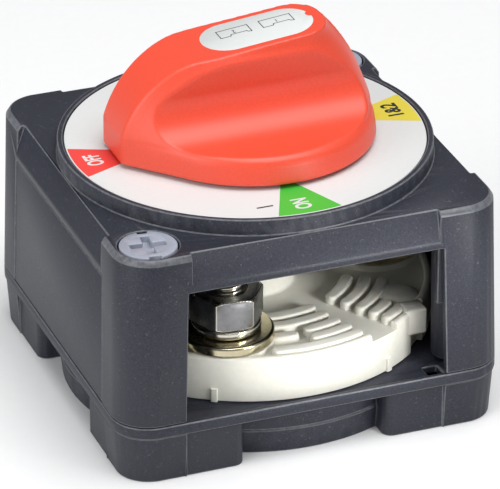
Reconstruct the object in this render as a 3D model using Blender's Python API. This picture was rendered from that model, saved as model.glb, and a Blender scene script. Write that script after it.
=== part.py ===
"""Boat battery selector switch: a square housing over a round contact base, with a turning knob.

Metres, +Z up.  The origin is the bottom centre of the base.  The open terminal window faces -Y,
the knob's pointer rests on OFF at -X, and the knob, spindle, rotor and moving contact turn
together about the Z axis.
"""
import math

import bmesh
import bpy
from mathutils import Matrix, Vector

MM = 0.001
GAP = 0.3 * MM                       # clearance kept between touching pieces

# ---- driving dimensions -------------------------------------------------------------------
BODY_HALF = 52.0 * MM                # half width of the square body at the seam
BODY_CORNER = 10.0 * MM              # plan radius of the body's corners
SEAM_Z = 16.0 * MM                   # top of the base, where the housing begins
HOUSING_TOP_Z = 62.25 * MM
HOUSING_DRAFT = 0.0256               # inward slope of the housing's sides
BASE_DRAFT = 0.07                    # inward slope of the base's corner blocks
WALL = 2.3 * MM
TOP_WALL = 3.0 * MM
WINDOW_HALF_TOP = 34.2 * MM
WINDOW_HALF_BOTTOM = 35.3 * MM
WINDOW_TOP_Z = 52.0 * MM
CORNER_OFFSET = 41.3 * MM            # x and y of the four corner pillars

BEZEL_OUTER = 48.4 * MM
BEZEL_INNER = 46.9 * MM
BEZEL_TOP_Z = 66.6 * MM
DIAL_SEAT_Z = 64.8 * MM
DIAL_RADIUS = 46.55 * MM
DIAL_TOP_Z = 66.28 * MM
DIAL_HOLE = 11.0 * MM

BOSS_RADIUS = 48.9 * MM
BOSS_STEP_Z = 6.7 * MM
CHAMBER_RADIUS = 44.0 * MM
CHAMBER_FLOOR_Z = 3.0 * MM

DISC_RADIUS = 48.6 * MM
DISC_LOW_Z = 15.1 * MM               # the contact base stands sunk into the base
DISC_TOP_Z = 27.4 * MM
DISC_FLOOR_Z = 25.6 * MM
DISC_CEILING_Z = 24.2 * MM
SUNK_Z = DISC_LOW_Z - GAP            # floor of the base's shallow tray
TOWER_RADIUS = 12.8 * MM
TOWER_BORE = 8.7 * MM

STUD_RING = 36.3 * MM                # distance of each stud from the knob's axis
STUD_ANGLES = {"1": -118.5, "2": 1.5, "common": 121.5}
STUD_RADIUS = 4.95 * MM
STUD_TOP_Z = 50.0 * MM
STUD_HOLE = 5.4 * MM
SCREW_RING = 41.5 * MM               # three screws that hold the contact base
SCREW_ANGLES = (-38.0, 82.0, 202.0)

WASHER_RADIUS = 12.4 * MM
WASHER_Z = 27.6 * MM
WASHER_TOP_Z = 30.2 * MM
LOCK_TOP_Z = 32.8 * MM
NUT_TOP_Z = 41.3 * MM
NUT_ACROSS_FLATS = 17.0 * MM
NUT_TURN = 54.7                      # degrees, the way every nut is left standing

KNOB_BOTTOM_Z = 67.3 * MM
KNOB_SKIRT_Z = 74.45 * MM
KNOB_TOP_Z = 95.3 * MM               # height of the sloping grip top on the axis
KNOB_TOP_SLOPE = 0.105
KNOB_RADIUS = 32.5 * MM
KNOB_CENTRE_X = 1.2 * MM
KNOB_NOSE_X = -36.2 * MM
KNOB_NOSE_HALF = 6.4 * MM


# ---- small modelling kit ------------------------------------------------------------------
def clear_scene():
    for obj in list(bpy.data.objects):
        bpy.data.objects.remove(obj, do_unlink=True)


def material(name, colour, roughness, metallic=0.0):
    found = bpy.data.materials.get(name)
    if found:
        return found
    made = bpy.data.materials.new(name)
    made.use_nodes = True
    shader = made.node_tree.nodes["Principled BSDF"]
    shader.inputs["Base Color"].default_value = (*colour, 1.0)
    shader.inputs["Roughness"].default_value = roughness
    shader.inputs["Metallic"].default_value = metallic
    return made


HOUSING_NYLON = material("housing_nylon", (0.075, 0.082, 0.105), 0.55)
KNOB_RED = material("knob_red", (0.85, 0.11, 0.06), 0.4)
BASE_WHITE = material("contact_base_white", (0.80, 0.79, 0.73), 0.45)
DIAL_WHITE = material("dial_white", (0.82, 0.82, 0.80), 0.4)
SCREW_GREY = material("screw_grey", (0.33, 0.38, 0.42), 0.45)
NICKEL = material("nickel", (0.72, 0.71, 0.68), 0.22, 1.0)
COPPER = material("copper", (0.80, 0.42, 0.26), 0.3, 1.0)
SPRING_STEEL = material("spring_steel", (0.55, 0.55, 0.56), 0.3, 1.0)
RUBBER = material("seal_rubber", (0.02, 0.02, 0.02), 0.7)
ROTOR_BLACK = material("rotor_black", (0.03, 0.03, 0.035), 0.5)


def mesh_object(name, bm, surface, parent=None, smooth_angle=35.0):
    bmesh.ops.remove_doubles(bm, verts=bm.verts, dist=0.001 * MM)
    bmesh.ops.recalc_face_normals(bm, faces=bm.faces)
    mesh = bpy.data.meshes.new(name)
    bm.to_mesh(mesh)
    bm.free()
    mesh.materials.append(surface)
    mesh.shade_smooth()
    mesh.set_sharp_from_angle(angle=math.radians(smooth_angle))
    obj = bpy.data.objects.new(name, mesh)
    bpy.context.scene.collection.objects.link(obj)
    obj.parent = parent
    return obj


def cutter(name, bm):
    obj = mesh_object(name, bm, HOUSING_NYLON)
    obj.hide_render = True
    obj.display_type = "WIRE"
    return obj


def boolean(obj, other, operation):
    step = obj.modifiers.new(operation.lower(), "BOOLEAN")
    step.operation = operation
    step.solver = "EXACT"
    step.object = other


def cut(obj, name, *shapes):
    """Subtract every shape from the object, through one hidden cutter each."""
    for number, bm in enumerate(shapes):
        boolean(obj, cutter(f"cut_{name}_{number}", bm), "DIFFERENCE")


def fuse(obj, name, *shapes):
    """Join every shape to the object, through one hidden helper each."""
    for number, bm in enumerate(shapes):
        boolean(obj, cutter(f"add_{name}_{number}", bm), "UNION")


def loft(rings):
    """Closed solid through rings with the same number of points, capped at both ends."""
    bm = bmesh.new()
    rows = [[bm.verts.new(point) for point in ring] for ring in rings]
    for lower, upper in zip(rows, rows[1:]):
        for i in range(len(lower)):
            j = (i + 1) % len(lower)
            bm.faces.new((lower[i], lower[j], upper[j], upper[i]))
    bm.faces.new(list(reversed(rows[0])))
    bm.faces.new(rows[-1])
    return bm


def at_height(outline, z):
    return [Vector((x, y, z)) for x, y in outline]


def prism(outline, low, high):
    return loft([at_height(outline, low), at_height(outline, high)])


def arc(cx, cy, radius, start, end, steps):
    angles = [math.radians(start + (end - start) * i / steps) for i in range(steps + 1)]
    return [(cx + radius * math.cos(a), cy + radius * math.sin(a)) for a in angles]


def circle(radius, steps, cx=0.0, cy=0.0, turn=0.0):
    return arc(cx, cy, radius, turn, turn + 360.0, steps)[:-1]


def rounded_box(half_x, half_y, radius, steps=5, cx=0.0, cy=0.0):
    outline = []
    for quarter, (sx, sy) in enumerate(((1, 1), (-1, 1), (-1, -1), (1, -1))):
        outline += arc(cx + sx * (half_x - radius), cy + sy * (half_y - radius),
                       radius, 90.0 * quarter, 90.0 * (quarter + 1), steps)
    return outline


def sector(inner, outer, start, end, steps):
    return arc(0, 0, outer, start, end, steps) + arc(0, 0, inner, end, start, steps)


def hexagon(across_flats, cx=0.0, cy=0.0, turn=0.0):
    return circle(across_flats / math.sqrt(3), 6, cx, cy, turn)


def turned(profile, steps, cx=0.0, cy=0.0):
    """Closed ring or solid of revolution from a closed (radius, height) profile."""
    bm = bmesh.new()
    rows = []
    for radius, z in profile:
        if radius < 1e-9:
            rows.append([bm.verts.new((cx, cy, z))])
        else:
            rows.append([bm.verts.new((x, y, z)) for x, y in circle(radius, steps, cx, cy)])
    for row, following in zip(rows, rows[1:] + rows[:1]):
        for i in range(steps):
            j = (i + 1) % steps
            corners = [row[i % len(row)], row[j % len(row)],
                       following[j % len(following)], following[i % len(following)]]
            unique = list(dict.fromkeys(corners))
            if len(unique) > 2:
                bm.faces.new(unique)
    return bm


def cylinder(radius, low, high, steps=32, cx=0.0, cy=0.0):
    return prism(circle(radius, steps, cx, cy), low, high)


def torus(major, minor, z, steps, sides):
    profile = [(major + minor * math.cos(a), z + minor * math.sin(a))
               for a in (2 * math.pi * k / sides for k in range(sides))]
    return turned(profile, steps)


def box(x0, x1, y0, y1, z0, z1):
    return prism([(x0, y0), (x1, y0), (x1, y1), (x0, y1)], z0, z1)


def moved(bm, matrix):
    bm.transform(matrix)
    return bm


def about_z(bm, degrees):
    return moved(bm, Matrix.Rotation(math.radians(degrees), 4, "Z"))


def polar(radius, degrees):
    angle = math.radians(degrees)
    return radius * math.cos(angle), radius * math.sin(angle)


def coil(radius, wire, turns, length, sides=4, per_turn=8):
    """Compression spring standing on z = 0, its wire swept along a helix."""
    rings = []
    count = int(turns * per_turn)
    climb = math.atan2(length / turns, 2 * math.pi * radius)
    for i in range(count + 1):
        angle = 2 * math.pi * i / per_turn
        outward = Vector((math.cos(angle), math.sin(angle), 0))
        along = Vector((-math.sin(angle) * math.cos(climb), math.cos(angle) * math.cos(climb),
                        math.sin(climb)))
        upward = along.cross(outward) * -1
        centre = outward * radius + Vector((0, 0, wire + (length - 2 * wire) * i / count))
        rings.append([centre + wire * (outward * math.cos(t) + upward * math.sin(t))
                      for t in (2 * math.pi * k / sides for k in range(sides))])
    return loft(rings)


def empty(name, location):
    obj = bpy.data.objects.new(name, None)
    obj.location = location
    bpy.context.scene.collection.objects.link(obj)
    return obj


# ---- base ---------------------------------------------------------------------------------
def body_half(z):
    return BODY_HALF - HOUSING_DRAFT * (z - SEAM_Z)


def make_base():
    plate_z = SEAM_Z - 3.2 * MM
    top_inset = 0.4 * MM
    bottom_inset = top_inset + BASE_DRAFT * plate_z

    def square(inset, z):
        half = BODY_HALF - inset
        return at_height(rounded_box(half, half, BODY_CORNER - inset), z)

    base = mesh_object("base", loft([
        square(bottom_inset, 0.0), square(top_inset, plate_z), square(0.0, plate_z),
        square(0.0, SEAM_Z)]), HOUSING_NYLON)

    block_end, recess = 19.0 * MM, 35.0 * MM
    face, corner_r = -(BODY_HALF - 1.5 * MM), 2.8 * MM
    notch = [(block_end + corner_r, -61 * MM)]
    notch += arc(block_end + corner_r, face + corner_r - 0.02 * MM, corner_r, 270, 180, 4)
    notch += arc(block_end - 2.5 * MM, -38.5 * MM, 2.5 * MM, 0, 90, 3)
    notch += [(-x, y) for x, y in reversed(notch)]
    for side in range(4):
        skin = box(-recess, recess, -60 * MM, face, -1 * MM, plate_z)
        turn = 90.0 * side
        cut(base, f"base_side{side}", about_z(prism(notch, -1 * MM, plate_z), turn),
            about_z(skin, turn))

    fuse(base, "base_boss", turned([
        (0, 0), (BOSS_RADIUS - 0.75 * MM, 0), (BOSS_RADIUS, BOSS_STEP_Z),
        (BOSS_RADIUS - 0.5 * MM, BOSS_STEP_Z), (BOSS_RADIUS - 0.5 * MM, plate_z + 1 * MM),
        (0, plate_z + 1 * MM)], 48))

    sunk = BODY_HALF - 1.5 * MM
    cut(base, "base_chamber",
        cylinder(CHAMBER_RADIUS, CHAMBER_FLOOR_Z, SEAM_Z + 1 * MM, 48),
        prism(rounded_box(sunk, sunk, BODY_CORNER - 1.5 * MM), SUNK_Z, SEAM_Z + 2 * MM))
    for number, angle in enumerate(SCREW_ANGLES):
        x, y = polar(SCREW_RING, angle)
        fuse(base, f"base_screw_post{number}",
             cylinder(3.9 * MM, CHAMBER_FLOOR_Z - 1 * MM, SUNK_Z, 16, x, y))
    fuse(base, "base_detent_ring", turned([
        (24.6 * MM, 2 * MM), (27 * MM, 2 * MM), (27 * MM, 10.8 * MM), (24.6 * MM, 10.8 * MM)], 32))
    for number, angle in enumerate(SCREW_ANGLES):
        x, y = polar(SCREW_RING, angle)
        cut(base, f"base_screw_hole{number}",
            cylinder(1.8 * MM, -1 * MM, SEAM_Z + 1 * MM, 12, x, y),
            cylinder(3.3 * MM, -1 * MM, 3.5 * MM, 16, x, y))
    for number in range(4):
        cut(base, f"base_detent_notch{number}",
            moved(cylinder(1.6 * MM, CHAMBER_FLOOR_Z + 1 * MM, 12 * MM, 12),
                  Matrix.Translation((*polar(25.0 * MM, 90.0 * number), 0))))
    for number, (sx, sy) in enumerate(((1, 1), (-1, -1))):
        cut(base, f"base_thread{number}",
            cylinder(3.4 * MM, 5 * MM, SEAM_Z + 1 * MM, 20,
                     sx * CORNER_OFFSET, sy * CORNER_OFFSET))
    for number, (sx, sy) in enumerate(((1, -1), (-1, 1))):
        cut(base, f"base_mount{number}",
            cylinder(2.6 * MM, -1 * MM, SEAM_Z + 1 * MM, 20,
                     sx * CORNER_OFFSET, sy * CORNER_OFFSET))
    cut(base, "base_seal_groove", turned([
        (45.0 * MM, 13.0 * MM), (47.4 * MM, 13.0 * MM),
        (47.4 * MM, SEAM_Z + 1 * MM), (45.0 * MM, SEAM_Z + 1 * MM)], 48))
    slot = box(31.5 * MM, 35.5 * MM, -49 * MM, -44.5 * MM, plate_z - 1 * MM, SEAM_Z + 1 * MM)
    for side in range(4):
        cut(base, f"base_plate_slot{side}", about_z(slot.copy(), 90.0 * side))
    slot.free()


# ---- housing ------------------------------------------------------------------------------
def window_outline(margin, low_z):
    """Trapezoid across a side, as (across, height) pairs."""
    return [(-(WINDOW_HALF_BOTTOM - margin), low_z), (WINDOW_HALF_BOTTOM - margin, low_z),
            (WINDOW_HALF_TOP - margin, WINDOW_TOP_Z - margin),
            (-(WINDOW_HALF_TOP - margin), WINDOW_TOP_Z - margin)]


def across_front(outline, near, far):
    """Solid between two planes of constant y, from (x, z) pairs."""
    return loft([[Vector((x, near, z)) for x, z in outline],
                 [Vector((x, far, z)) for x, z in outline]])


def make_housing():
    low = SEAM_Z + GAP
    chamfer = 0.6 * MM
    outer = []
    for z, inset in ((low, 0), (HOUSING_TOP_Z - chamfer, 0), (HOUSING_TOP_Z, chamfer)):
        half = body_half(z) - inset
        outer.append(at_height(rounded_box(half, half, BODY_CORNER - inset), z))
    housing = mesh_object("housing", loft(outer), HOUSING_NYLON)

    ceiling = HOUSING_TOP_Z - TOP_WALL
    inner = []
    for z, inset in ((low - 1 * MM, WALL), (53 * MM, WALL), (ceiling, WALL + 2 * MM)):
        half = body_half(z) - inset
        inner.append(at_height(rounded_box(half, half, BODY_CORNER - inset), z))
    cut(housing, "housing_inside", loft(inner))

    fold_z = 54.5 * MM
    shoulder = [(-(body_half(fold_z)), fold_z), (-48.7 * MM, HOUSING_TOP_Z + 0.1 * MM),
                (-60 * MM, HOUSING_TOP_Z + 0.1 * MM), (-60 * MM, fold_z)]
    for side in range(4):
        wedge = loft([[Vector((x, y, z)) for y, z in shoulder] for x in (-33 * MM, 33 * MM)])
        opening = across_front(window_outline(0, low - 2 * MM), -60 * MM, -40 * MM)
        turn = 90.0 * side
        cut(housing, f"housing_side{side}", about_z(wedge, turn), about_z(opening, turn))
        for hand in (-1, 1):
            edges = sorted((hand * 33.6 * MM, hand * 38.0 * MM))
            root = sorted((hand * 35.7 * MM, hand * 38.0 * MM))
            rail = box(*edges, -48.5 * MM, -46.4 * MM, 35 * MM, ceiling + 0.5 * MM)
            foot = box(*root, -50.3 * MM, -48.3 * MM, 35 * MM, 58 * MM)
            fuse(housing, f"housing_rail{side}{'lr'[hand > 0]}", about_z(rail, turn),
                 about_z(foot, turn))

    for number, (sx, sy) in enumerate(((1, 1), (-1, 1), (-1, -1), (1, -1))):
        x, y = sx * CORNER_OFFSET, sy * CORNER_OFFSET
        fuse(housing, f"housing_pillar{number}",
             turned([(0, low + 0.2 * MM), (5.6 * MM, low + 0.2 * MM), (6.0 * MM, 50 * MM),
                     (9.2 * MM, 56 * MM), (9.2 * MM, 61 * MM), (0, 61 * MM)], 20, x, y))
    for number, (sx, sy) in enumerate(((1, 1), (-1, -1))):
        x, y = sx * CORNER_OFFSET, sy * CORNER_OFFSET
        cut(housing, f"housing_screw{number}",
            cylinder(7.75 * MM, 58.0 * MM, HOUSING_TOP_Z + 1 * MM, 28, x, y),
            cylinder(3.4 * MM, 10 * MM, 59 * MM, 20, x, y))

    fuse(housing, "housing_bezel", turned([
        (0, 61 * MM), (BEZEL_OUTER, 61 * MM), (BEZEL_OUTER, BEZEL_TOP_Z - 0.4 * MM),
        (BEZEL_OUTER - 0.4 * MM, BEZEL_TOP_Z), (BEZEL_INNER + 0.3 * MM, BEZEL_TOP_Z),
        (BEZEL_INNER, BEZEL_TOP_Z - 0.3 * MM), (BEZEL_INNER, DIAL_SEAT_Z), (0, DIAL_SEAT_Z)], 64))
    cut(housing, "housing_shaft", cylinder(DIAL_HOLE, 55 * MM, 70 * MM, 40))


def make_side_cover(name, turn):
    """Panel that fills one terminal window, with two hooks that go up behind the wall."""
    outline = window_outline(0.35 * MM, SEAM_Z + 0.4 * MM)
    skin = 0.15 * MM
    thick = 2.0 * MM
    outer = [Vector((x, -(body_half(z) - skin), z)) for x, z in outline]
    inner = [Vector((x, -(body_half(z) - skin - thick), z)) for x, z in outline]
    panel = mesh_object(name, about_z(loft([outer, inner]), turn), HOUSING_NYLON)
    for number, side in enumerate((-1, 1)):
        edges = sorted((side * 18 * MM, side * 26 * MM))
        hook = loft([[Vector((x, y, z)) for y, z in (
            (-49.9 * MM, 45 * MM), (-49.9 * MM, 51 * MM), (-47.6 * MM, 51.3 * MM),
            (-47.6 * MM, 54.5 * MM), (-46.0 * MM, 54.5 * MM), (-46.0 * MM, 46.5 * MM))]
            for x in edges])
        fuse(panel, f"{name}_hook{number}", about_z(hook, turn))


# ---- dial ---------------------------------------------------------------------------------
def make_dial():
    low = DIAL_SEAT_Z + GAP
    mesh_object("dial_plate", turned([
        (DIAL_HOLE, low), (DIAL_RADIUS, low), (DIAL_RADIUS, DIAL_TOP_Z - 0.15 * MM),
        (DIAL_RADIUS - 0.15 * MM, DIAL_TOP_Z), (DIAL_HOLE, DIAL_TOP_Z)], 64), DIAL_WHITE)


# ---- contact base -------------------------------------------------------------------------
RIB_RADII = (26.8 * MM, 31.6 * MM, 36.2 * MM, 40.5 * MM, 44.6 * MM)
RIB_WIDTH = 3.3 * MM
RIB_TOP_Z = 27.8 * MM
CHANNEL_START, CHANNEL_END = -69.2, -58.0     # radial channel between the groups of ribs
RIB_BED_Z = DISC_FLOOR_Z - 0.5 * MM
PAD_Z = WASHER_Z - GAP               # seat under each flat washer


def rib(radius, start, end):
    steps = max(2, int((end - start) / 11))
    return prism(sector(radius - RIB_WIDTH / 2, radius + RIB_WIDTH / 2, start, end, steps),
                 RIB_BED_Z, RIB_TOP_Z)


def make_contact_base():
    low = DISC_LOW_Z
    rim = 1.9 * MM
    disc = mesh_object("contact_base", turned([
        (TOWER_BORE, 22 * MM), (13 * MM, 22 * MM), (13 * MM, DISC_CEILING_Z),
        (CHAMBER_RADIUS, DISC_CEILING_Z), (CHAMBER_RADIUS, low), (DISC_RADIUS, low),
        (DISC_RADIUS, DISC_TOP_Z - 0.8 * MM), (DISC_RADIUS - 0.8 * MM, DISC_TOP_Z),
        (DISC_RADIUS - rim, DISC_TOP_Z), (DISC_RADIUS - rim, DISC_FLOOR_Z),
        (TOWER_RADIUS, DISC_FLOOR_Z), (TOWER_RADIUS - 0.6 * MM, DISC_FLOOR_Z + 0.6 * MM),
        (TOWER_RADIUS - 1.1 * MM, 58.9 * MM), (TOWER_BORE, 58.9 * MM)], 48), BASE_WHITE)

    for third in range(3):
        turn = 120.0 * third
        channel = sector(46.5 * MM, 51 * MM, CHANNEL_START, CHANNEL_END, 3)
        cut(disc, f"disc_channel{third}",
            about_z(prism(channel, DISC_FLOOR_Z, 30 * MM), turn))
        shapes = [rib(37.4 * MM, -101.0, -89.5)]
        for number, radius in enumerate(RIB_RADII):
            broken = 2 <= number <= 3
            shapes.append(rib(radius, -86.5 if broken else -102.0, CHANNEL_START))
            beside_boss = number >= 3
            shapes.append(rib(radius, CHANNEL_END, -45.5 if beside_boss else -28.0))
        for number, shape in enumerate(shapes):
            fuse(disc, f"disc_rib{third}{number}", about_z(shape, turn))
        x, y = polar(SCREW_RING, SCREW_ANGLES[third])
        fuse(disc, f"disc_screw_boss{third}",
             turned([(0, low), (3.9 * MM, low), (3.9 * MM, 24.9 * MM), (5.2 * MM, 24.9 * MM),
                     (5.2 * MM, 26.5 * MM), (4.4 * MM, 27.4 * MM), (0, 27.95 * MM)], 14, x, y))
    for number, angle in enumerate(STUD_ANGLES.values()):
        x, y = polar(STUD_RING, angle)
        fuse(disc, f"disc_pad{number}", cylinder(12.2 * MM, RIB_BED_Z, PAD_Z, 24, x, y))
    lug = box(29.9 * MM, 35.6 * MM, -38 * MM, -32.5 * MM, 20.9 * MM, 28.2 * MM)
    for side in range(4):
        turn = 90.0 * side
        relief = prism(sector(47.1 * MM, 51 * MM, -49.5, -40.5, 3), 10 * MM, 30 * MM)
        cut(disc, f"disc_relief{side}", about_z(relief, turn))
        fuse(disc, f"disc_lug{side}", about_z(lug.copy(), turn))
    lug.free()
    for number, angle in enumerate(STUD_ANGLES.values()):
        x, y = polar(STUD_RING, angle)
        cut(disc, f"disc_stud_hole{number}", cylinder(STUD_HOLE, 20 * MM, 30 * MM, 16, x, y),
            cylinder(WASHER_RADIUS + 0.5 * MM, PAD_Z, 32 * MM, 24, x, y))
    for number, angle in enumerate(SCREW_ANGLES):
        x, y = polar(SCREW_RING, angle)
        cut(disc, f"disc_screw_hole{number}", cylinder(1.7 * MM, 10 * MM, 25.5 * MM, 12, x, y))


# ---- terminals ----------------------------------------------------------------------------
def make_terminal(label, angle):
    x, y = polar(STUD_RING, angle)
    head_low = 20.5 * MM
    head_high = 21.9 * MM if label == "common" else DISC_CEILING_Z - GAP
    mesh_object(f"stud_{label}", turned([
        (0, head_low), (6.9 * MM, head_low), (7.2 * MM, head_low + 0.3 * MM),
        (7.2 * MM, head_high), (STUD_RADIUS, head_high), (STUD_RADIUS, STUD_TOP_Z - 0.8 * MM),
        (STUD_RADIUS - 0.8 * MM, STUD_TOP_Z), (0, STUD_TOP_Z)], 24, x, y), NICKEL)
    mesh_object(f"flat_washer_{label}", turned([
        (STUD_HOLE, WASHER_Z), (WASHER_RADIUS - 0.2 * MM, WASHER_Z),
        (WASHER_RADIUS, WASHER_Z + 0.3 * MM), (WASHER_RADIUS, WASHER_TOP_Z - 0.5 * MM),
        (WASHER_RADIUS - 0.5 * MM, WASHER_TOP_Z), (STUD_HOLE, WASHER_TOP_Z)], 28, x, y), NICKEL)
    lock_low = WASHER_TOP_Z + GAP
    split = [at_height(outline, z) for outline, z in (
        (sector(5.3 * MM, 9.0 * MM, 6, 354, 20), lock_low),
        (sector(5.3 * MM, 9.0 * MM, 6, 354, 20), LOCK_TOP_Z))]
    place = Matrix.Translation((x, y, 0)) @ Matrix.Rotation(math.radians(70), 4, "Z")
    mesh_object(f"spring_washer_{label}", moved(loft(split), place), NICKEL)
    nut_low = LOCK_TOP_Z + GAP
    blank = prism(hexagon(NUT_ACROSS_FLATS, x, y, NUT_TURN), nut_low, NUT_TOP_Z)
    nut = mesh_object(f"nut_{label}", blank, NICKEL)
    cut(nut, f"nut_{label}", cylinder(5.25 * MM, nut_low - 1 * MM, NUT_TOP_Z + 1 * MM, 24, x, y))
    corner = NUT_ACROSS_FLATS / math.sqrt(3)
    boolean(nut, cutter(f"chamfer_nut_{label}", turned([
        (0, nut_low - 0.1 * MM), (corner - 0.9 * MM, nut_low - 0.1 * MM),
        (corner + 0.5 * MM, nut_low + 0.9 * MM), (corner + 0.5 * MM, NUT_TOP_Z - 0.9 * MM),
        (corner - 0.9 * MM, NUT_TOP_Z + 0.1 * MM), (0, NUT_TOP_Z + 0.1 * MM)], 24, x, y)),
        "INTERSECT")


def make_common_strap():
    """Copper bridge from the common stud to the ring that the moving contact slides under."""
    arm_low = 22.2 * MM
    top = DISC_CEILING_Z - GAP
    strap = mesh_object("common_strap", turned([
        (15.5 * MM, 20.5 * MM), (21 * MM, 20.5 * MM), (21 * MM, top), (15.5 * MM, top)], 48),
        COPPER)
    arm = prism(rounded_box(14 * MM, 7 * MM, 6.5 * MM, 4, 29.5 * MM, 0), arm_low, top)
    fuse(strap, "strap_arm", about_z(arm, STUD_ANGLES["common"]))
    x, y = polar(STUD_RING, STUD_ANGLES["common"])
    cut(strap, "strap_hole", cylinder(STUD_HOLE, arm_low - 1 * MM, top + 1 * MM, 24, x, y))


# ---- moving set ---------------------------------------------------------------------------
def make_spindle(parent):
    shaft = mesh_object("spindle", turned([
        (0, 4.2 * MM), (6.0 * MM, 4.2 * MM), (6.0 * MM, 17 * MM), (8.4 * MM, 17 * MM),
        (8.4 * MM, 48 * MM), (5.9 * MM, 48 * MM), (5.9 * MM, 51 * MM), (8.4 * MM, 51 * MM),
        (8.4 * MM, 66 * MM), (5.6 * MM, 66 * MM), (5.6 * MM, 79.3 * MM), (0, 79.3 * MM)], 32),
        ROTOR_BLACK, parent)
    flats = 4.9 * MM
    for number, z in enumerate((3 * MM, 66 * MM)):
        high = 17 * MM if number == 0 else 81 * MM
        for hand in (-1, 1):
            edges = sorted((hand * flats, hand * 10 * MM))
            cut(shaft, f"spindle_flat{number}{'lr'[hand > 0]}",
                box(-10 * MM, 10 * MM, *edges, z, high))
    cut(shaft, "spindle_thread", cylinder(2.1 * MM, 66.5 * MM, 81 * MM, 16))
    mesh_object("spindle_seal", torus(7.25 * MM, 1.15 * MM, 49.5 * MM, 24, 6), RUBBER, parent)


def double_flat(radius, flat):
    """Outline of a round bar with two flats at y = +-flat."""
    reach = math.degrees(math.asin(flat / radius))
    return arc(0, 0, radius, -reach, reach, 8) + arc(0, 0, radius, 180 - reach, 180 + reach, 8)


KEY_ANGLES = (-90.0, 30.0, 150.0)     # keys that turn the moving contact with the rotor
CONTACT_SPRING_ANGLES = (64.0, 121.5, 179.0)
DETENT_ANGLES = (90.0, 270.0)
DETENT_Z = 7.2 * MM


def make_rotor(parent):
    rotor = mesh_object("rotor", turned([
        (0, 3.6 * MM), (21 * MM, 3.6 * MM), (21 * MM, 10.8 * MM), (22 * MM, 11.4 * MM),
        (35 * MM, 11.4 * MM), (35 * MM, 13.2 * MM), (13.5 * MM, 13.2 * MM),
        (13.5 * MM, 20.4 * MM), (8.7 * MM, 20.4 * MM), (8.7 * MM, 16.7 * MM), (0, 16.7 * MM)],
        40), ROTOR_BLACK, parent)
    cut(rotor, "rotor_socket",
        prism(double_flat(6.3 * MM, 5.2 * MM), 3.9 * MM, 18 * MM))
    for number, angle in enumerate(DETENT_ANGLES):
        bore = moved(cylinder(3.1 * MM, 13 * MM, 24 * MM, 16),
                     Matrix.Translation((0, 0, DETENT_Z)) @ Matrix.Rotation(math.pi / 2, 4, "Y"))
        cut(rotor, f"rotor_bore{number}", about_z(bore, angle))
    for number, angle in enumerate(KEY_ANGLES):
        key = box(12.0 * MM, 15.0 * MM, -1.8 * MM, 1.8 * MM, 12.5 * MM, 20.1 * MM)
        fuse(rotor, f"rotor_key{number}", about_z(key, angle))


def make_moving_contact(parent):
    low, high = 17.9 * MM, 20.2 * MM
    plate = mesh_object("moving_contact", turned([
        (14 * MM, low), (22 * MM, low), (22 * MM, high), (14 * MM, high)], 48), COPPER, parent)
    fuse(plate, "contact_sector", prism(sector(19 * MM, 36.6 * MM, 47, 196, 24), low, high))
    for number, angle in enumerate(KEY_ANGLES):
        key = box(13 * MM, 15.4 * MM, -2.1 * MM, 2.1 * MM, 17 * MM, 21 * MM)
        cut(plate, f"contact_key{number}", about_z(key, angle))
    for number, angle in enumerate(CONTACT_SPRING_ANGLES):
        spring = coil(2.6 * MM, 0.45 * MM, 3.5, 4.1 * MM)
        x, y = polar(30 * MM, angle)
        mesh_object(f"contact_spring_{number + 1}",
                    moved(spring, Matrix.Translation((x, y, 13.5 * MM))), SPRING_STEEL, parent)


def make_detents(parent):
    ball_radius = 2.8 * MM
    for number, angle in enumerate(DETENT_ANGLES):
        x, y = polar(21.5 * MM, angle)
        slide = empty(f"detent_axis_{number + 1}", (x, y, DETENT_Z))
        slide.parent = parent
        bm = bmesh.new()
        bmesh.ops.create_icosphere(bm, subdivisions=2, radius=ball_radius)
        ball = mesh_object(f"detent_ball_{number + 1}", bm, SPRING_STEEL, slide, 80.0)
        ball.location = (0, 0, 0)
        spring = coil(2.2 * MM, 0.35 * MM, 5.5, 5.0 * MM)
        spring = moved(spring, Matrix.Rotation(math.pi / 2, 4, "Y"))
        spring = moved(spring, Matrix.Translation((13.4 * MM, 0, DETENT_Z)))
        mesh_object(f"detent_spring_{number + 1}", about_z(spring, angle), SPRING_STEEL, parent)


# ---- knob ---------------------------------------------------------------------------------
NOSE_POINTS = 4                      # across half of the pointer's flat end
SIDE_POINTS = 22                     # from the pointer's corner round to the tail


def half_outline_low():
    """Half of the knob's foot (y > 0): pointer end, flank, then the round tail."""
    points = [(KNOB_NOSE_X, KNOB_NOSE_HALF * i / NOSE_POINTS) for i in range(NOSE_POINTS)]
    corner_r = 1.6 * MM
    corner = (KNOB_NOSE_X + corner_r, KNOB_NOSE_HALF)
    dx = corner[0] - KNOB_CENTRE_X
    reach = math.hypot(dx, corner[1])
    leaning = math.acos((KNOB_RADIUS - corner_r) / reach)
    tangent = math.atan2(corner[1], dx) - leaning
    start = (corner[0] + corner_r * math.cos(tangent), corner[1] + corner_r * math.sin(tangent))
    points += arc(*corner, corner_r, 180, math.degrees(tangent), 3)[:-1]
    touch = (KNOB_CENTRE_X + KNOB_RADIUS * math.cos(tangent), KNOB_RADIUS * math.sin(tangent))
    straight = math.dist(start, touch)
    bend = KNOB_RADIUS * tangent
    for i in range(SIDE_POINTS + 1):
        along = (straight + bend) * i / SIDE_POINTS
        if along < straight:
            part = along / straight
            points.append((start[0] + (touch[0] - start[0]) * part,
                           start[1] + (touch[1] - start[1]) * part))
        else:
            angle = tangent * (1 - (along - straight) / bend)
            points.append((KNOB_CENTRE_X + KNOB_RADIUS * math.cos(angle),
                           KNOB_RADIUS * math.sin(angle)))
    return points


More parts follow.
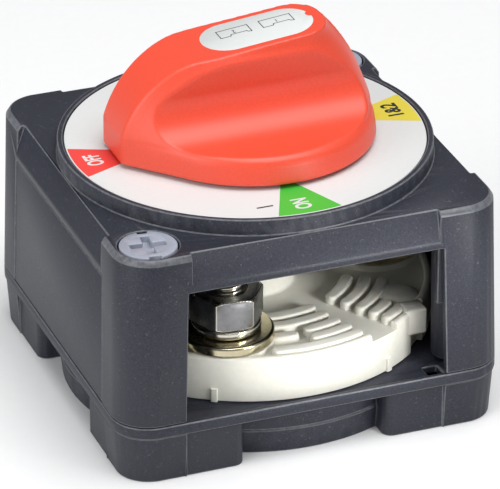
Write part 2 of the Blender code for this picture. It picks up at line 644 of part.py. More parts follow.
def half_outline_top():
    """Half of the flat grip top (y > 0), point for point with the foot."""
    nose, tail, half = -15 * MM, 20.6 * MM, 9.7 * MM
    corner_r = 1.6 * MM
    tail_r = 7.8 * MM
    points = [(nose, (half - corner_r) * i / NOSE_POINTS) for i in range(NOSE_POINTS)]
    points += arc(nose + corner_r, half - corner_r, corner_r, 180, 90, 3)[:-1]
    straight = tail - tail_r - (nose + corner_r)
    bend = tail_r * math.pi / 2
    flat = half - tail_r
    length = straight + bend + flat
    for i in range(SIDE_POINTS + 1):
        along = length * i / SIDE_POINTS
        if along < straight:
            points.append((nose + corner_r + along, half))
        elif along < straight + bend:
            angle = math.pi / 2 - (along - straight) / tail_r
            points.append((tail - tail_r + tail_r * math.cos(angle),
                           half - tail_r + tail_r * math.sin(angle)))
        else:
            points.append((tail, max(0.0, length - along)))
    return points


def mirrored(half):
    """Whole outline from its y >= 0 half, whose first and last points lie on y = 0."""
    return half + [(x, -y) for x, y in reversed(half[1:-1])]


def grip_top(x):
    return KNOB_TOP_Z + KNOB_TOP_SLOPE * x


def drawn_in(x, y, scale):
    """Skirt point moved toward the axis, except at the pointer's end, which stays upright."""
    scale = 1 - (1 - scale) * min(1.0, (x - KNOB_NOSE_X) / (20 * MM))
    return x * scale, y * scale


def knob_rings():
    low, top = mirrored(half_outline_low()), mirrored(half_outline_top())
    last = len(half_outline_low()) - 1
    rings = []
    for z, scale in ((KNOB_BOTTOM_Z, 0.99), (KNOB_BOTTOM_Z + 0.5 * MM, 1.0),
                     (KNOB_BOTTOM_Z + 5 * MM, 0.982), (KNOB_SKIRT_Z, 0.938)):
        rings.append([Vector((*drawn_in(x, y, scale), z)) for x, y in low])
    steps = 12
    first = math.asin((KNOB_SKIRT_Z + 0.6 * MM - KNOB_BOTTOM_Z) / (KNOB_TOP_Z - KNOB_BOTTOM_Z))
    for step in range(steps + 1):
        lift = first + (math.pi / 2 - first) * step / steps
        ring = []
        for i, ((bx, by), (tx, ty)) in enumerate(zip(low, top)):
            index = min(i, len(low) - i)
            along = max(0.0, (index - NOSE_POINTS - 3) / (last - NOSE_POINTS - 3))
            fullness = 1.15 + 0.71 * along + 2.34 * math.sin(math.pi * along ** 1.275) ** 0.8
            upright = 1 + 0.05 * max(0.0, 1 - 3 * along)
            shrink = upright * math.cos(lift) ** fullness if step < steps else 0.0
            high = grip_top(tx)
            ring.append(Vector((tx + (bx - tx) * shrink, ty + (by - ty) * shrink,
                                KNOB_BOTTOM_Z + (high - KNOB_BOTTOM_Z) * math.sin(lift))))
        rings.append(ring)
    return rings


def scoop(side):
    """Finger scoop beside the grip: undercut wall, round cove and flat floor, ended at the nose."""
    cove = 10.35 * MM
    rings = []
    end_start, end_radius = -27.1 * MM, 17.5 * MM
    stations = [40 * MM, end_start] + [
        end_start - end_radius * math.sin(math.radians(a)) for a in range(10, 70, 10)]
    for x in stations:
        past = max(0.0, end_start - x)
        inset = end_radius - math.sqrt(max(0.0, end_radius ** 2 - past ** 2))
        wall = 10.45 * MM + inset
        floor = KNOB_SKIRT_Z + 0.2 * MM + 0.01 * x - 0.15 * inset
        lip = grip_top(x) - 2.3 * MM
        profile = [(wall + 0.65 * MM, lip), (wall + 0.8 * MM, 110 * MM), (60 * MM, 110 * MM),
                   (60 * MM, floor)]
        profile += [(wall + cove - cove * math.sin(math.radians(a)),
                     floor + cove - cove * math.cos(math.radians(a)))
                    for a in (0, 15, 30, 45, 60, 75, 90)]
        rings.append([Vector((x, side * y, z)) for y, z in profile])
    return loft(rings)


def tilted_to_grip(bm):
    """Lay a shape that was made around z = 0 on the sloping grip top."""
    lean = Matrix.Rotation(-math.atan(KNOB_TOP_SLOPE), 4, "Y")
    return moved(bm, Matrix.Translation((0, 0, KNOB_TOP_Z)) @ lean)


LABEL_CENTRE_X = 3.0 * MM


def label_outline(shrink):
    return rounded_box(15.0 * MM - shrink, 7.6 * MM - shrink, 7.5 * MM - shrink, 8,
                       LABEL_CENTRE_X, 0.0)


def make_knob(parent):
    knob = mesh_object("knob", loft(knob_rings()), KNOB_RED, parent, 40.0)
    cut(knob, "knob_scoop", scoop(1), scoop(-1))
    cut(knob, "knob_label", tilted_to_grip(prism(label_outline(0), -1.0 * MM, 5 * MM)))
    cut(knob, "knob_hollow", turned([
        (12 * MM, 60 * MM), (29 * MM, 60 * MM), (28 * MM, 72.8 * MM), (12 * MM, 72.8 * MM)], 48))
    cut(knob, "knob_socket", cylinder(10 * MM, 60 * MM, 67.6 * MM, 32),
        prism(double_flat(5.9 * MM, 5.2 * MM), 60 * MM, 79.6 * MM),
        cylinder(2.4 * MM, 70 * MM, 90 * MM, 16), cylinder(4.6 * MM, 82 * MM, 98 * MM, 24))
    mesh_object("knob_label", tilted_to_grip(prism(label_outline(0.3 * MM), -0.7 * MM, 0.0)),
                DIAL_WHITE, parent)
    screw = mesh_object("knob_screw", turned([
        (0, 68 * MM), (1.8 * MM, 68 * MM), (1.8 * MM, 82.3 * MM), (4.0 * MM, 82.3 * MM),
        (4.0 * MM, 83.6 * MM), (2.9 * MM, 84.8 * MM), (0, 84.8 * MM)], 20), NICKEL, parent)
    cut(screw, "knob_screw", box(-2.4 * MM, 2.4 * MM, -0.5 * MM, 0.5 * MM, 83.6 * MM, 86 * MM),
        box(-0.5 * MM, 0.5 * MM, -2.4 * MM, 2.4 * MM, 83.6 * MM, 86 * MM))


# ---- fasteners and seal -------------------------------------------------------------------
def make_cover_screw(number, sx, sy):
    x, y = sx * CORNER_OFFSET, sy * CORNER_OFFSET
    head_low = 58.3 * MM
    head_top = HOUSING_TOP_Z - 0.1 * MM
    axis = empty(f"cover_screw_axis_{number}", (x, y, 0))
    screw = mesh_object(f"cover_screw_{number}", turned([
        (0, 8 * MM), (2.4 * MM, 8 * MM), (3.0 * MM, 9 * MM), (3.0 * MM, head_low),
        (7.4 * MM, head_low), (7.4 * MM, head_top - 0.5 * MM), (6.9 * MM, head_top),
        (0, head_top)], 28), SCREW_GREY, axis)
    slots = []
    for turn in (25.0, 115.0):
        slots.append(about_z(box(-4.6 * MM, 4.6 * MM, -1.1 * MM, 1.1 * MM,
                                 head_top - 1.9 * MM, head_top + 1 * MM), turn))
    for turn in (70.0, 250.0):
        slots.append(about_z(box(6.2 * MM, 9 * MM, -1.3 * MM, 1.3 * MM,
                                 head_top - 1.9 * MM, head_top + 1 * MM), turn))
    cut(screw, f"cover_screw_{number}", *slots)
    for step in screw.modifiers:
        step.object.parent = axis


def make_base_screw(number, angle):
    x, y = polar(SCREW_RING, angle)
    screw = mesh_object(f"base_screw_{number}", turned([
        (0, 0.7 * MM), (2.5 * MM, 0.7 * MM), (3.0 * MM, 1.2 * MM), (3.0 * MM, 3.2 * MM),
        (1.45 * MM, 3.2 * MM), (1.45 * MM, 23 * MM), (0, 25 * MM)], 16, x, y), SPRING_STEEL)
    cut(screw, f"base_screw_{number}",
        box(x - 1.9 * MM, x + 1.9 * MM, y - 0.4 * MM, y + 0.4 * MM, 0, 1.8 * MM),
        box(x - 0.4 * MM, x + 0.4 * MM, y - 1.9 * MM, y + 1.9 * MM, 0, 1.8 * MM))


def main():
    clear_scene()
    make_base()
    make_housing()
    for name, turn in (("side_cover_left", -90.0), ("side_cover_rear", 180.0),
                       ("side_cover_right", 90.0)):
        make_side_cover(name, turn)
    make_dial()
    make_contact_base()
    for label, angle in STUD_ANGLES.items():
        make_terminal(label, angle)
    make_common_strap()
    mesh_object("base_seal", torus(46.2 * MM, 0.85 * MM, 14.15 * MM, 48, 6), RUBBER)

    selector = empty("selector_axis", (0, 0, 0))
    make_spindle(selector)
    make_rotor(selector)
    make_moving_contact(selector)
    make_detents(selector)
    make_knob(selector)

    for number, (sx, sy) in enumerate(((-1, -1), (1, 1)), 1):
        make_cover_screw(number, sx, sy)
    for number, angle in enumerate(SCREW_ANGLES, 1):
        make_base_screw(number, angle)


main()
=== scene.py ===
"""Looks for the boat battery switch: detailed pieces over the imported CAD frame.

Metres, +Z up, in the row frame: the open window faces -Y, the pointer rests on OFF at -X, and the
knob turns about the Z axis.
"""
import math

import bmesh
import bpy
from mathutils import Matrix, Vector


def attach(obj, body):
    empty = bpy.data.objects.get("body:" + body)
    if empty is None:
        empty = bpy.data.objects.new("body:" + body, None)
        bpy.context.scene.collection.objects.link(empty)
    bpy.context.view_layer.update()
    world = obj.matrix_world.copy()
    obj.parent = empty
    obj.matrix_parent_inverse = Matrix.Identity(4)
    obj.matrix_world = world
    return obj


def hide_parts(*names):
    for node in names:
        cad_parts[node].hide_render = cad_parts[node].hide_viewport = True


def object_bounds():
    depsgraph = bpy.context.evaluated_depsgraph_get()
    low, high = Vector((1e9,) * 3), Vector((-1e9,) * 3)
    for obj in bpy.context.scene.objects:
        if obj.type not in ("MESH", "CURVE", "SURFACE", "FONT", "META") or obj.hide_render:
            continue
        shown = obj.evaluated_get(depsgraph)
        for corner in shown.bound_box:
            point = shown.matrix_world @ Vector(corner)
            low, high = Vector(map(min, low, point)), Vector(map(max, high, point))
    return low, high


MM = 0.001
CORNERS = ((1, 1), (-1, 1), (-1, -1), (1, -1))
SCREW_CORNERS = CORNERS[::2]
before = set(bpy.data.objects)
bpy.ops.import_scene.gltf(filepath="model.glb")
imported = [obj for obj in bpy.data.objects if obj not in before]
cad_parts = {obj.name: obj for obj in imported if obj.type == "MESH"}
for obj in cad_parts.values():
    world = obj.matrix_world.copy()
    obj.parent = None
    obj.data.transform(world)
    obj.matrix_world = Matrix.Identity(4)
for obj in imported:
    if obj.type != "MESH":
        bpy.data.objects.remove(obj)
cad_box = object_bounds()
scene = bpy.context.scene


# ---- camera and light ---------------------------------------------------------------------
CAMERA_TURN = math.radians(-20.933)
CAMERA_RISE = math.radians(27.69)
CAMERA_ROLL = math.radians(0.122)
CAMERA_TARGET = Vector((13.771, 32.457, 16.0)) * MM
CAMERA_DISTANCE = 1.204255
CAMERA_LENS = 322.46


def make_camera():
    back = Vector((math.sin(CAMERA_TURN) * math.cos(CAMERA_RISE),
                   -math.cos(CAMERA_TURN) * math.cos(CAMERA_RISE), math.sin(CAMERA_RISE)))
    level = Vector((math.cos(CAMERA_TURN), math.sin(CAMERA_TURN), 0))
    upright = back.cross(level)
    right = level * math.cos(CAMERA_ROLL) + upright * math.sin(CAMERA_ROLL)
    up = upright * math.cos(CAMERA_ROLL) - level * math.sin(CAMERA_ROLL)
    data = bpy.data.cameras.new("camera")
    data.lens = CAMERA_LENS
    data.sensor_width = 36.0
    data.clip_start = 0.05
    data.clip_end = 20.0
    camera = bpy.data.objects.new("camera", data)
    place = Matrix((right, up, back)).transposed().to_4x4()
    place.translation = CAMERA_TARGET + back * CAMERA_DISTANCE
    camera.matrix_world = place
    scene.collection.objects.link(camera)
    scene.camera = camera


def area_light(name, location, target, width, height, power, spread=180.0):
    data = bpy.data.lights.new(name, "AREA")
    data.shape = "RECTANGLE"
    data.size = width
    data.size_y = height
    data.energy = power
    data.spread = math.radians(spread)
    light = bpy.data.objects.new(name, data)
    light.location = location
    aim = Vector(target) - Vector(location)
    light.rotation_euler = aim.to_track_quat("-Z", "Y").to_euler()
    scene.collection.objects.link(light)


def make_lights():
    middle = (0, 0, 0.04)
    area_light("overhead", (0.1, -0.3, 1.3), middle, 1.1, 1.1, 17)
    area_light("left", (-1.2, -0.4, 0.6), middle, 0.9, 0.9, 8)
    area_light("window_fill", (0.06, -0.15, 0.065), (0.0, -0.02, 0.028), 0.05, 0.03, 0.012, 40)
    world = bpy.data.worlds.new("studio")
    scene.world = world
    world.use_nodes = True
    backdrop = world.node_tree.nodes["Background"]
    backdrop.inputs["Color"].default_value = (0.95, 0.97, 1.0, 1.0)
    backdrop.inputs["Strength"].default_value = 0.26
    scene.view_settings.view_transform = "Standard"
    scene.view_settings.look = "None"


# ---- materials ----------------------------------------------------------------------------
def new_material(name):
    made = bpy.data.materials.new(name)
    made.use_nodes = True
    return made, made.node_tree, made.node_tree.nodes["Principled BSDF"]


def add_noise(tree, coordinates, scale, detail=3.0, roughness=0.55):
    node = tree.nodes.new("ShaderNodeTexNoise")
    node.inputs["Scale"].default_value = scale
    node.inputs["Detail"].default_value = detail
    node.inputs["Roughness"].default_value = roughness
    tree.links.new(coordinates, node.inputs["Vector"])
    return node.outputs["Fac"]


def add_map(tree, value, low, high, to_low, to_high):
    node = tree.nodes.new("ShaderNodeMapRange")
    for name, number in (("From Min", low), ("From Max", high), ("To Min", to_low),
                         ("To Max", to_high)):
        node.inputs[name].default_value = number
    tree.links.new(value, node.inputs["Value"])
    return node.outputs["Result"]


def add_mix(tree, factor, first, second):
    """Colour mix; first and second are colours or sockets, factor is a socket."""
    node = tree.nodes.new("ShaderNodeMix")
    node.data_type = "RGBA"
    tree.links.new(factor, node.inputs["Factor"])
    for socket, value in (("A", first), ("B", second)):
        target = [s for s in node.inputs if s.name == socket and s.type == "RGBA"][0]
        if isinstance(value, tuple):
            target.default_value = (*value, 1.0)
        else:
            tree.links.new(value, target)
    return [s for s in node.outputs if s.type == "RGBA"][0]


def add_bump(tree, shader, height, strength, distance):
    node = tree.nodes.new("ShaderNodeBump")
    node.inputs["Strength"].default_value = strength
    node.inputs["Distance"].default_value = distance
    tree.links.new(height, node.inputs["Height"])
    tree.links.new(node.outputs["Normal"], shader.inputs["Normal"])


def object_coordinates(tree, stretch=None):
    source = tree.nodes.new("ShaderNodeTexCoord").outputs["Object"]
    if stretch is None:
        return source
    node = tree.nodes.new("ShaderNodeMapping")
    node.inputs["Scale"].default_value = stretch
    tree.links.new(source, node.inputs["Vector"])
    return node.outputs["Vector"]


def shade(colour, factor):
    return tuple(channel * factor for channel in colour)


def moulded_plastic(name, colour, roughness, grain=2200.0, contrast=0.2, speckle=None,
                    bump=0.25, specular=0.5, cloud=0.08, subsurface=0.0):
    """Moulded plastic with a fine spark-eroded grain, soft cloudiness and optional light specks."""
    made, tree, shader = new_material(name)
    where = object_coordinates(tree)
    fine = add_noise(tree, where, grain, 4.0, 0.6)
    soft = add_noise(tree, where, 45.0, 2.0)
    base = add_mix(tree, add_map(tree, fine, 0.3, 0.7, 0.0, 1.0),
                   shade(colour, 1 - contrast), shade(colour, 1 + contrast))
    base = add_mix(tree, add_map(tree, soft, 0.35, 0.65, 0.0, cloud), base, shade(colour, 1.5))
    if speckle:
        specks = add_noise(tree, where, grain * 0.55, 2.0, 0.7)
        base = add_mix(tree, add_map(tree, specks, 0.63, 0.74, 0.0, 1.0), base, speckle)
    tree.links.new(base, shader.inputs["Base Color"])
    tree.links.new(add_map(tree, fine, 0.3, 0.7, roughness - 0.05, roughness + 0.07),
                   shader.inputs["Roughness"])
    shader.inputs["Specular IOR Level"].default_value = specular
    if subsurface:
        shader.inputs["Subsurface Weight"].default_value = subsurface
        shader.inputs["Subsurface Radius"].default_value = (1.0, 0.8, 0.6)
        shader.inputs["Subsurface Scale"].default_value = 1.5 * MM
    add_bump(tree, shader, fine, bump, 0.05 * MM)
    return made


def plated_metal(name, colour, tarnish, roughness, streak=(1.0, 1.0, 1.0), bump=0.08):
    """Plated or bare metal with tarnish clouds and fine marks."""
    made, tree, shader = new_material(name)
    where = object_coordinates(tree)
    clouds = add_noise(tree, where, 160.0, 3.0)
    marks = add_noise(tree, object_coordinates(tree, streak), 900.0, 4.0, 0.65)
    base = add_mix(tree, add_map(tree, clouds, 0.35, 0.7, 0.0, 1.0), colour, tarnish)
    tree.links.new(base, shader.inputs["Base Color"])
    tree.links.new(add_map(tree, marks, 0.3, 0.7, roughness * 0.7, roughness * 1.4),
                   shader.inputs["Roughness"])
    shader.inputs["Metallic"].default_value = 1.0
    add_bump(tree, shader, marks, bump, 0.03 * MM)
    return made


NYLON = moulded_plastic("nylon_grained", (0.024, 0.026, 0.038), 0.48, grain=2200.0, contrast=0.5,
                        speckle=(0.085, 0.085, 0.10), bump=0.35, specular=0.4, cloud=0.1)
# lighter nylon for the bevel strips and the top lip: a painted highlight on the rounded edges
NYLON_EDGE_HIGHLIGHT = moulded_plastic("nylon_painted_edge_highlight", (0.11, 0.115, 0.13), 0.4, grain=900.0, contrast=0.35,
                             bump=0.2)
KNOB_RED = moulded_plastic("knob_red_satin", (0.83, 0.076, 0.034), 0.4, grain=2600.0,
                           contrast=0.08, bump=0.3, specular=0.6, cloud=0.03, subsurface=0.08)
CREAM = moulded_plastic("cream_moulding", (0.80, 0.785, 0.70), 0.42, grain=700.0, contrast=0.03,
                        bump=0.08, subsurface=0.15, cloud=0.05)
DIAL_WHITE = moulded_plastic("dial_film_white", (0.70, 0.725, 0.715), 0.38, grain=1500.0,
                             contrast=0.02, bump=0.06, cloud=0.02)
SCREW_GREY = moulded_plastic("screw_grey_moulding", (0.33, 0.35, 0.42), 0.42, grain=1600.0,
                             contrast=0.06, bump=0.15)
ROTOR_BLACK = moulded_plastic("rotor_black_moulding", (0.03, 0.03, 0.034), 0.5)
SEAL_BLACK = moulded_plastic("seal_rubber_black", (0.018, 0.018, 0.018), 0.68, contrast=0.3)
PRINT_RED = moulded_plastic("print_red", (0.80, 0.06, 0.05), 0.4, contrast=0.04, bump=0.05)
PRINT_GREEN = moulded_plastic("print_green", (0.06, 0.50, 0.05), 0.4, contrast=0.04, bump=0.05)
PRINT_YELLOW = moulded_plastic("print_yellow", (0.74, 0.63, 0.06), 0.4, contrast=0.04, bump=0.05)
PRINT_GREY = moulded_plastic("print_grey", (0.10, 0.10, 0.10), 0.45, contrast=0.2, bump=0.05)
PRINT_BLACK = moulded_plastic("print_black", (0.02, 0.02, 0.02), 0.45, contrast=0.2, bump=0.05)
NICKEL = plated_metal("nickel_plate", (0.74, 0.72, 0.66), (0.60, 0.56, 0.45), 0.2)
NICKEL_WARM = plated_metal("nickel_plate_warm", (0.66, 0.60, 0.43), (0.50, 0.44, 0.27), 0.2)
NUT_STEEL = plated_metal("nut_zinc_satin", (0.30, 0.30, 0.31), (0.20, 0.20, 0.20), 0.32)
COPPER = plated_metal("copper_bare", (0.80, 0.42, 0.27), (0.55, 0.26, 0.16), 0.28)
SPRING_STEEL = plated_metal("steel_plain", (0.55, 0.55, 0.56), (0.40, 0.40, 0.41), 0.28)


# ---- modelling kit ------------------------------------------------------------------------
def linked(name, mesh, surfaces, smooth_angle):
    """Object around a finished mesh, smooth but for edges sharper than the angle."""
    for surface in surfaces:
        mesh.materials.append(surface)
    mesh.shade_smooth()
    mesh.set_sharp_from_angle(angle=math.radians(smooth_angle))
    obj = bpy.data.objects.new(name, mesh)
    scene.collection.objects.link(obj)
    return obj


def mesh_object(name, bm, *surfaces, smooth_angle=32.0):
    """Object from one shape, which is used up."""
    bmesh.ops.remove_doubles(bm, verts=bm.verts, dist=0.0005 * MM)
    bmesh.ops.recalc_face_normals(bm, faces=bm.faces)
    mesh = bpy.data.meshes.new(name)
    bm.to_mesh(mesh)
    bm.free()
    return linked(name, mesh, surfaces, smooth_angle)


def joined(name, shapes, *surfaces, smooth_angle=32.0):
    """One object from several closed shapes, which are used up."""
    whole = bmesh.new()
    for shape in shapes:
        mesh = bpy.data.meshes.new("part")
        bmesh.ops.recalc_face_normals(shape, faces=shape.faces)
        shape.to_mesh(mesh)
        shape.free()
        whole.from_mesh(mesh)
        bpy.data.meshes.remove(mesh)
    mesh = bpy.data.meshes.new(name)
    whole.to_mesh(mesh)
    whole.free()
    return linked(name, mesh, surfaces, smooth_angle)


def applied(obj, smooth_angle=32.0):
    """Bake every modifier into the object's mesh."""
    bpy.context.view_layer.update()
    graph = bpy.context.evaluated_depsgraph_get()
    mesh = bpy.data.meshes.new_from_object(obj.evaluated_get(graph))
    for step in list(obj.modifiers):
        obj.modifiers.remove(step)
    obj.data = mesh
    mesh.shade_smooth()
    mesh.set_sharp_from_angle(angle=math.radians(smooth_angle))
    return obj


def combine(obj, operation, *shapes):
    """Boolean the object with every shape, applied at once; the helpers are removed."""
    helpers = []
    for number, bm in enumerate(shapes):
        helper = mesh_object(f"helper_{number}", bm, *obj.data.materials)
        step = obj.modifiers.new(f"step_{number}", "BOOLEAN")
        step.operation = operation
        step.solver = "EXACT"
        step.object = helper
        helpers.append(helper)
    applied(obj)
    for helper in helpers:
        bpy.data.objects.remove(helper, do_unlink=True)


def bevelled(obj, width, segments=2, angle=40.0, edge_material=-1, merge=0.03 * MM):
    """Round the sharp edges; edge_material is the slot for the painted highlight strip along them.
    """
    bm = bmesh.new()
    bm.from_mesh(obj.data)
    bmesh.ops.remove_doubles(bm, verts=bm.verts, dist=merge)
    bmesh.ops.dissolve_limit(bm, angle_limit=math.radians(0.4), verts=bm.verts, edges=bm.edges)
    bm.to_mesh(obj.data)
    bm.free()
    step = obj.modifiers.new("bevel", "BEVEL")
    step.width = width
    step.segments = segments
    step.limit_method = "ANGLE"
    step.angle_limit = math.radians(angle)
    step.use_clamp_overlap = False
    step.harden_normals = True
    step.material = edge_material
    step.miter_outer = "MITER_ARC"
    return applied(obj, 38.0)


def place(obj, body, slot, *nodes):
    """Hang a finished piece on its body, with the CAD nodes it stands for."""
    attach(obj, body)
    if nodes:
        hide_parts(*nodes)
    return obj


def loft(rings):
    """Closed solid through rings with the same number of points, capped at both ends."""
    bm = bmesh.new()
    rows = [[bm.verts.new(point) for point in ring] for ring in rings]
    for lower, upper in zip(rows, rows[1:]):
        for i in range(len(lower)):
            j = (i + 1) % len(lower)
            bm.faces.new((lower[i], lower[j], upper[j], upper[i]))
    bm.faces.new(list(reversed(rows[0])))
    bm.faces.new(rows[-1])
    return bm


def at_height(outline, z):
    return [Vector((x, y, z)) for x, y in outline]


def prism(outline, low, high):
    return loft([at_height(outline, low), at_height(outline, high)])


def arc(cx, cy, radius, start, end, steps):
    angles = [math.radians(start + (end - start) * i / steps) for i in range(steps + 1)]
    return [(cx + radius * math.cos(a), cy + radius * math.sin(a)) for a in angles]


def circle(radius, steps, cx=0.0, cy=0.0, turn=0.0):
    return arc(cx, cy, radius, turn, turn + 360.0, steps)[:-1]


def rounded_box(half_x, half_y, radius, steps=14, cx=0.0, cy=0.0):
    outline = []
    for quarter, (sx, sy) in enumerate(CORNERS):
        outline += arc(cx + sx * (half_x - radius), cy + sy * (half_y - radius),
                       radius, 90.0 * quarter, 90.0 * (quarter + 1), steps)
    return outline


def sector(inner, outer, start, end, steps):
    return arc(0, 0, outer, start, end, steps) + arc(0, 0, inner, end, start, steps)


def turned(profile, steps, cx=0.0, cy=0.0):
    """Closed ring or solid of revolution from a closed (radius, height) profile."""
    bm = bmesh.new()
    rows = []
    for radius, z in profile:
        if radius < 1e-9:
            rows.append([bm.verts.new((cx, cy, z))])
        else:
            rows.append([bm.verts.new((x, y, z)) for x, y in circle(radius, steps, cx, cy)])
    for row, following in zip(rows, rows[1:] + rows[:1]):
        for i in range(steps):
            j = (i + 1) % steps
            corners = [row[i % len(row)], row[j % len(row)],
                       following[j % len(following)], following[i % len(following)]]
            unique = list(dict.fromkeys(corners))
            if len(unique) > 2:
                bm.faces.new(unique)
    return bm


def cylinder(radius, low, high, steps=64, cx=0.0, cy=0.0):
    return prism(circle(radius, steps, cx, cy), low, high)


def tube(inner, outer, low, high, steps):
    return turned([(inner, low), (outer, low), (outer, high), (inner, high)], steps)


def box(x0, x1, y0, y1, z0, z1):
    return prism([(x0, y0), (x1, y0), (x1, y1), (x0, y1)], z0, z1)


def moved(bm, matrix):
    bm.transform(matrix)
    return bm


def about_z(bm, degrees):
    return moved(bm, Matrix.Rotation(math.radians(degrees), 4, "Z"))


def polar(radius, degrees):
    angle = math.radians(degrees)
    return radius * math.cos(angle), radius * math.sin(angle)


def round_corner(before, corner, after, radius, steps=4):
    """Points of a round (radius, height) profile corner, as a quadratic curve."""
    before, corner, after = Vector(before), Vector(corner), Vector(after)
    start = corner + (before - corner).normalized() * radius
    end = corner + (after - corner).normalized() * radius
    points = []
    for i in range(steps + 1):
        t = i / steps
        p = start * (1 - t) ** 2 + corner * 2 * t * (1 - t) + end * t ** 2
        points.append((p.x, p.y))
    return points


def rounded_profile(points):
    """(radius, height, rounding) triples to a profile with each rounded corner filled in."""
    profile = []
    for i, (r, z, rounding) in enumerate(points):
        if rounding:
            before = points[i - 1][:2]
            after = points[(i + 1) % len(points)][:2]
            profile += round_corner(before, (r, z), after, rounding)
        else:
            profile.append((r, z))
    return profile


# ---- shared sizes, as in the CAD ----------------------------------------------------------
BODY_HALF = 52.0 * MM
BODY_CORNER = 10.0 * MM
SEAM_Z = 16.0 * MM
HOUSING_TOP_Z = 62.25 * MM
HOUSING_DRAFT = 0.0256
BASE_DRAFT = 0.07
WALL = 2.3 * MM
WINDOW_HALF_TOP = 34.2 * MM
WINDOW_HALF_BOTTOM = 35.3 * MM
WINDOW_TOP_Z = 52.0 * MM
CORNER_OFFSET = 41.3 * MM
BEZEL_OUTER = 48.4 * MM
BEZEL_INNER = 46.9 * MM
BEZEL_TOP_Z = 66.6 * MM
DIAL_SEAT_Z = 64.8 * MM
DIAL_RADIUS = 46.55 * MM
DIAL_TOP_Z = 66.28 * MM
DIAL_HOLE = 11.0 * MM
BOSS_RADIUS = 48.9 * MM
BOSS_STEP_Z = 6.7 * MM
CHAMBER_RADIUS = 44.0 * MM
CHAMBER_FLOOR_Z = 3.0 * MM
DISC_RADIUS = 48.6 * MM
DISC_LOW_Z = 15.1 * MM
DISC_TOP_Z = 27.4 * MM
DISC_FLOOR_Z = 25.6 * MM
DISC_CEILING_Z = 24.2 * MM
TOWER_RADIUS = 12.8 * MM
TOWER_BORE = 8.7 * MM
STUD_RING = 36.3 * MM
STUD_ANGLES = {"1": -118.5, "2": 1.5, "common": 121.5}
STUD_RADIUS = 4.95 * MM
STUD_TOP_Z = 50.0 * MM
SCREW_RING = 41.5 * MM
SCREW_ANGLES = (-38.0, 82.0, 202.0)
WASHER_RADIUS = 12.4 * MM
WASHER_Z = 27.6 * MM
WASHER_TOP_Z = 30.2 * MM
LOCK_TOP_Z = 32.8 * MM
NUT_TOP_Z = 41.3 * MM
NUT_ACROSS_FLATS = 17.0 * MM
NUT_TURN = 54.7
KNOB_BOTTOM_Z = 67.3 * MM
KNOB_SKIRT_Z = 74.45 * MM
KNOB_TOP_Z = 95.3 * MM
KNOB_TOP_SLOPE = 0.105
KNOB_RADIUS = 32.5 * MM
KNOB_CENTRE_X = 1.2 * MM
KNOB_NOSE_X = -36.2 * MM
KNOB_NOSE_HALF = 6.4 * MM
GAP = 0.3 * MM                       # between pieces that touch
FAR = 60 * MM                        # reach of a cut that runs out past the body
PLATE_Z = SEAM_Z - 3.2 * MM          # underside of the base's plate
SCREW_BORE = 3.4 * MM
SCREW_SEAT_Z = 58.0 * MM
STUD_BORE = 5.4 * MM
SEAT_TOP_Z = 27.3 * MM               # round seat under each terminal
TOWER_TOP_Z = 58.9 * MM
DETENT_RING = 25.0 * MM
DETENT_TOP_Z = 10.8 * MM
STACK_GAP = 0.15 * MM                # between the rings and nut on a stud
TEXT_SIZE = 5.8 * MM
PAINTED_HIGHLIGHT_SLOT = 1                             # material slot of the lighter edge material: a painted highlight along the rounded edges


def body_half(z):
    """Half the width of the drafted housing at a height."""
    return BODY_HALF - HOUSING_DRAFT * (z - SEAM_Z)


# ---- housing and base ---------------------------------------------------------------------
def window_outline(margin, low_z):
    """Tapered side window as (x, z) points, drawn in by the margin."""
    return [(-(WINDOW_HALF_BOTTOM - margin), low_z), (WINDOW_HALF_BOTTOM - margin, low_z),
            (WINDOW_HALF_TOP - margin, WINDOW_TOP_Z - margin),
            (-(WINDOW_HALF_TOP - margin), WINDOW_TOP_Z - margin)]


def across_front(outline, near, far):
    """Solid on an (x, z) outline, running along Y."""
    return loft([[Vector((x, near, z)) for x, z in outline],
                 [Vector((x, far, z)) for x, z in outline]])


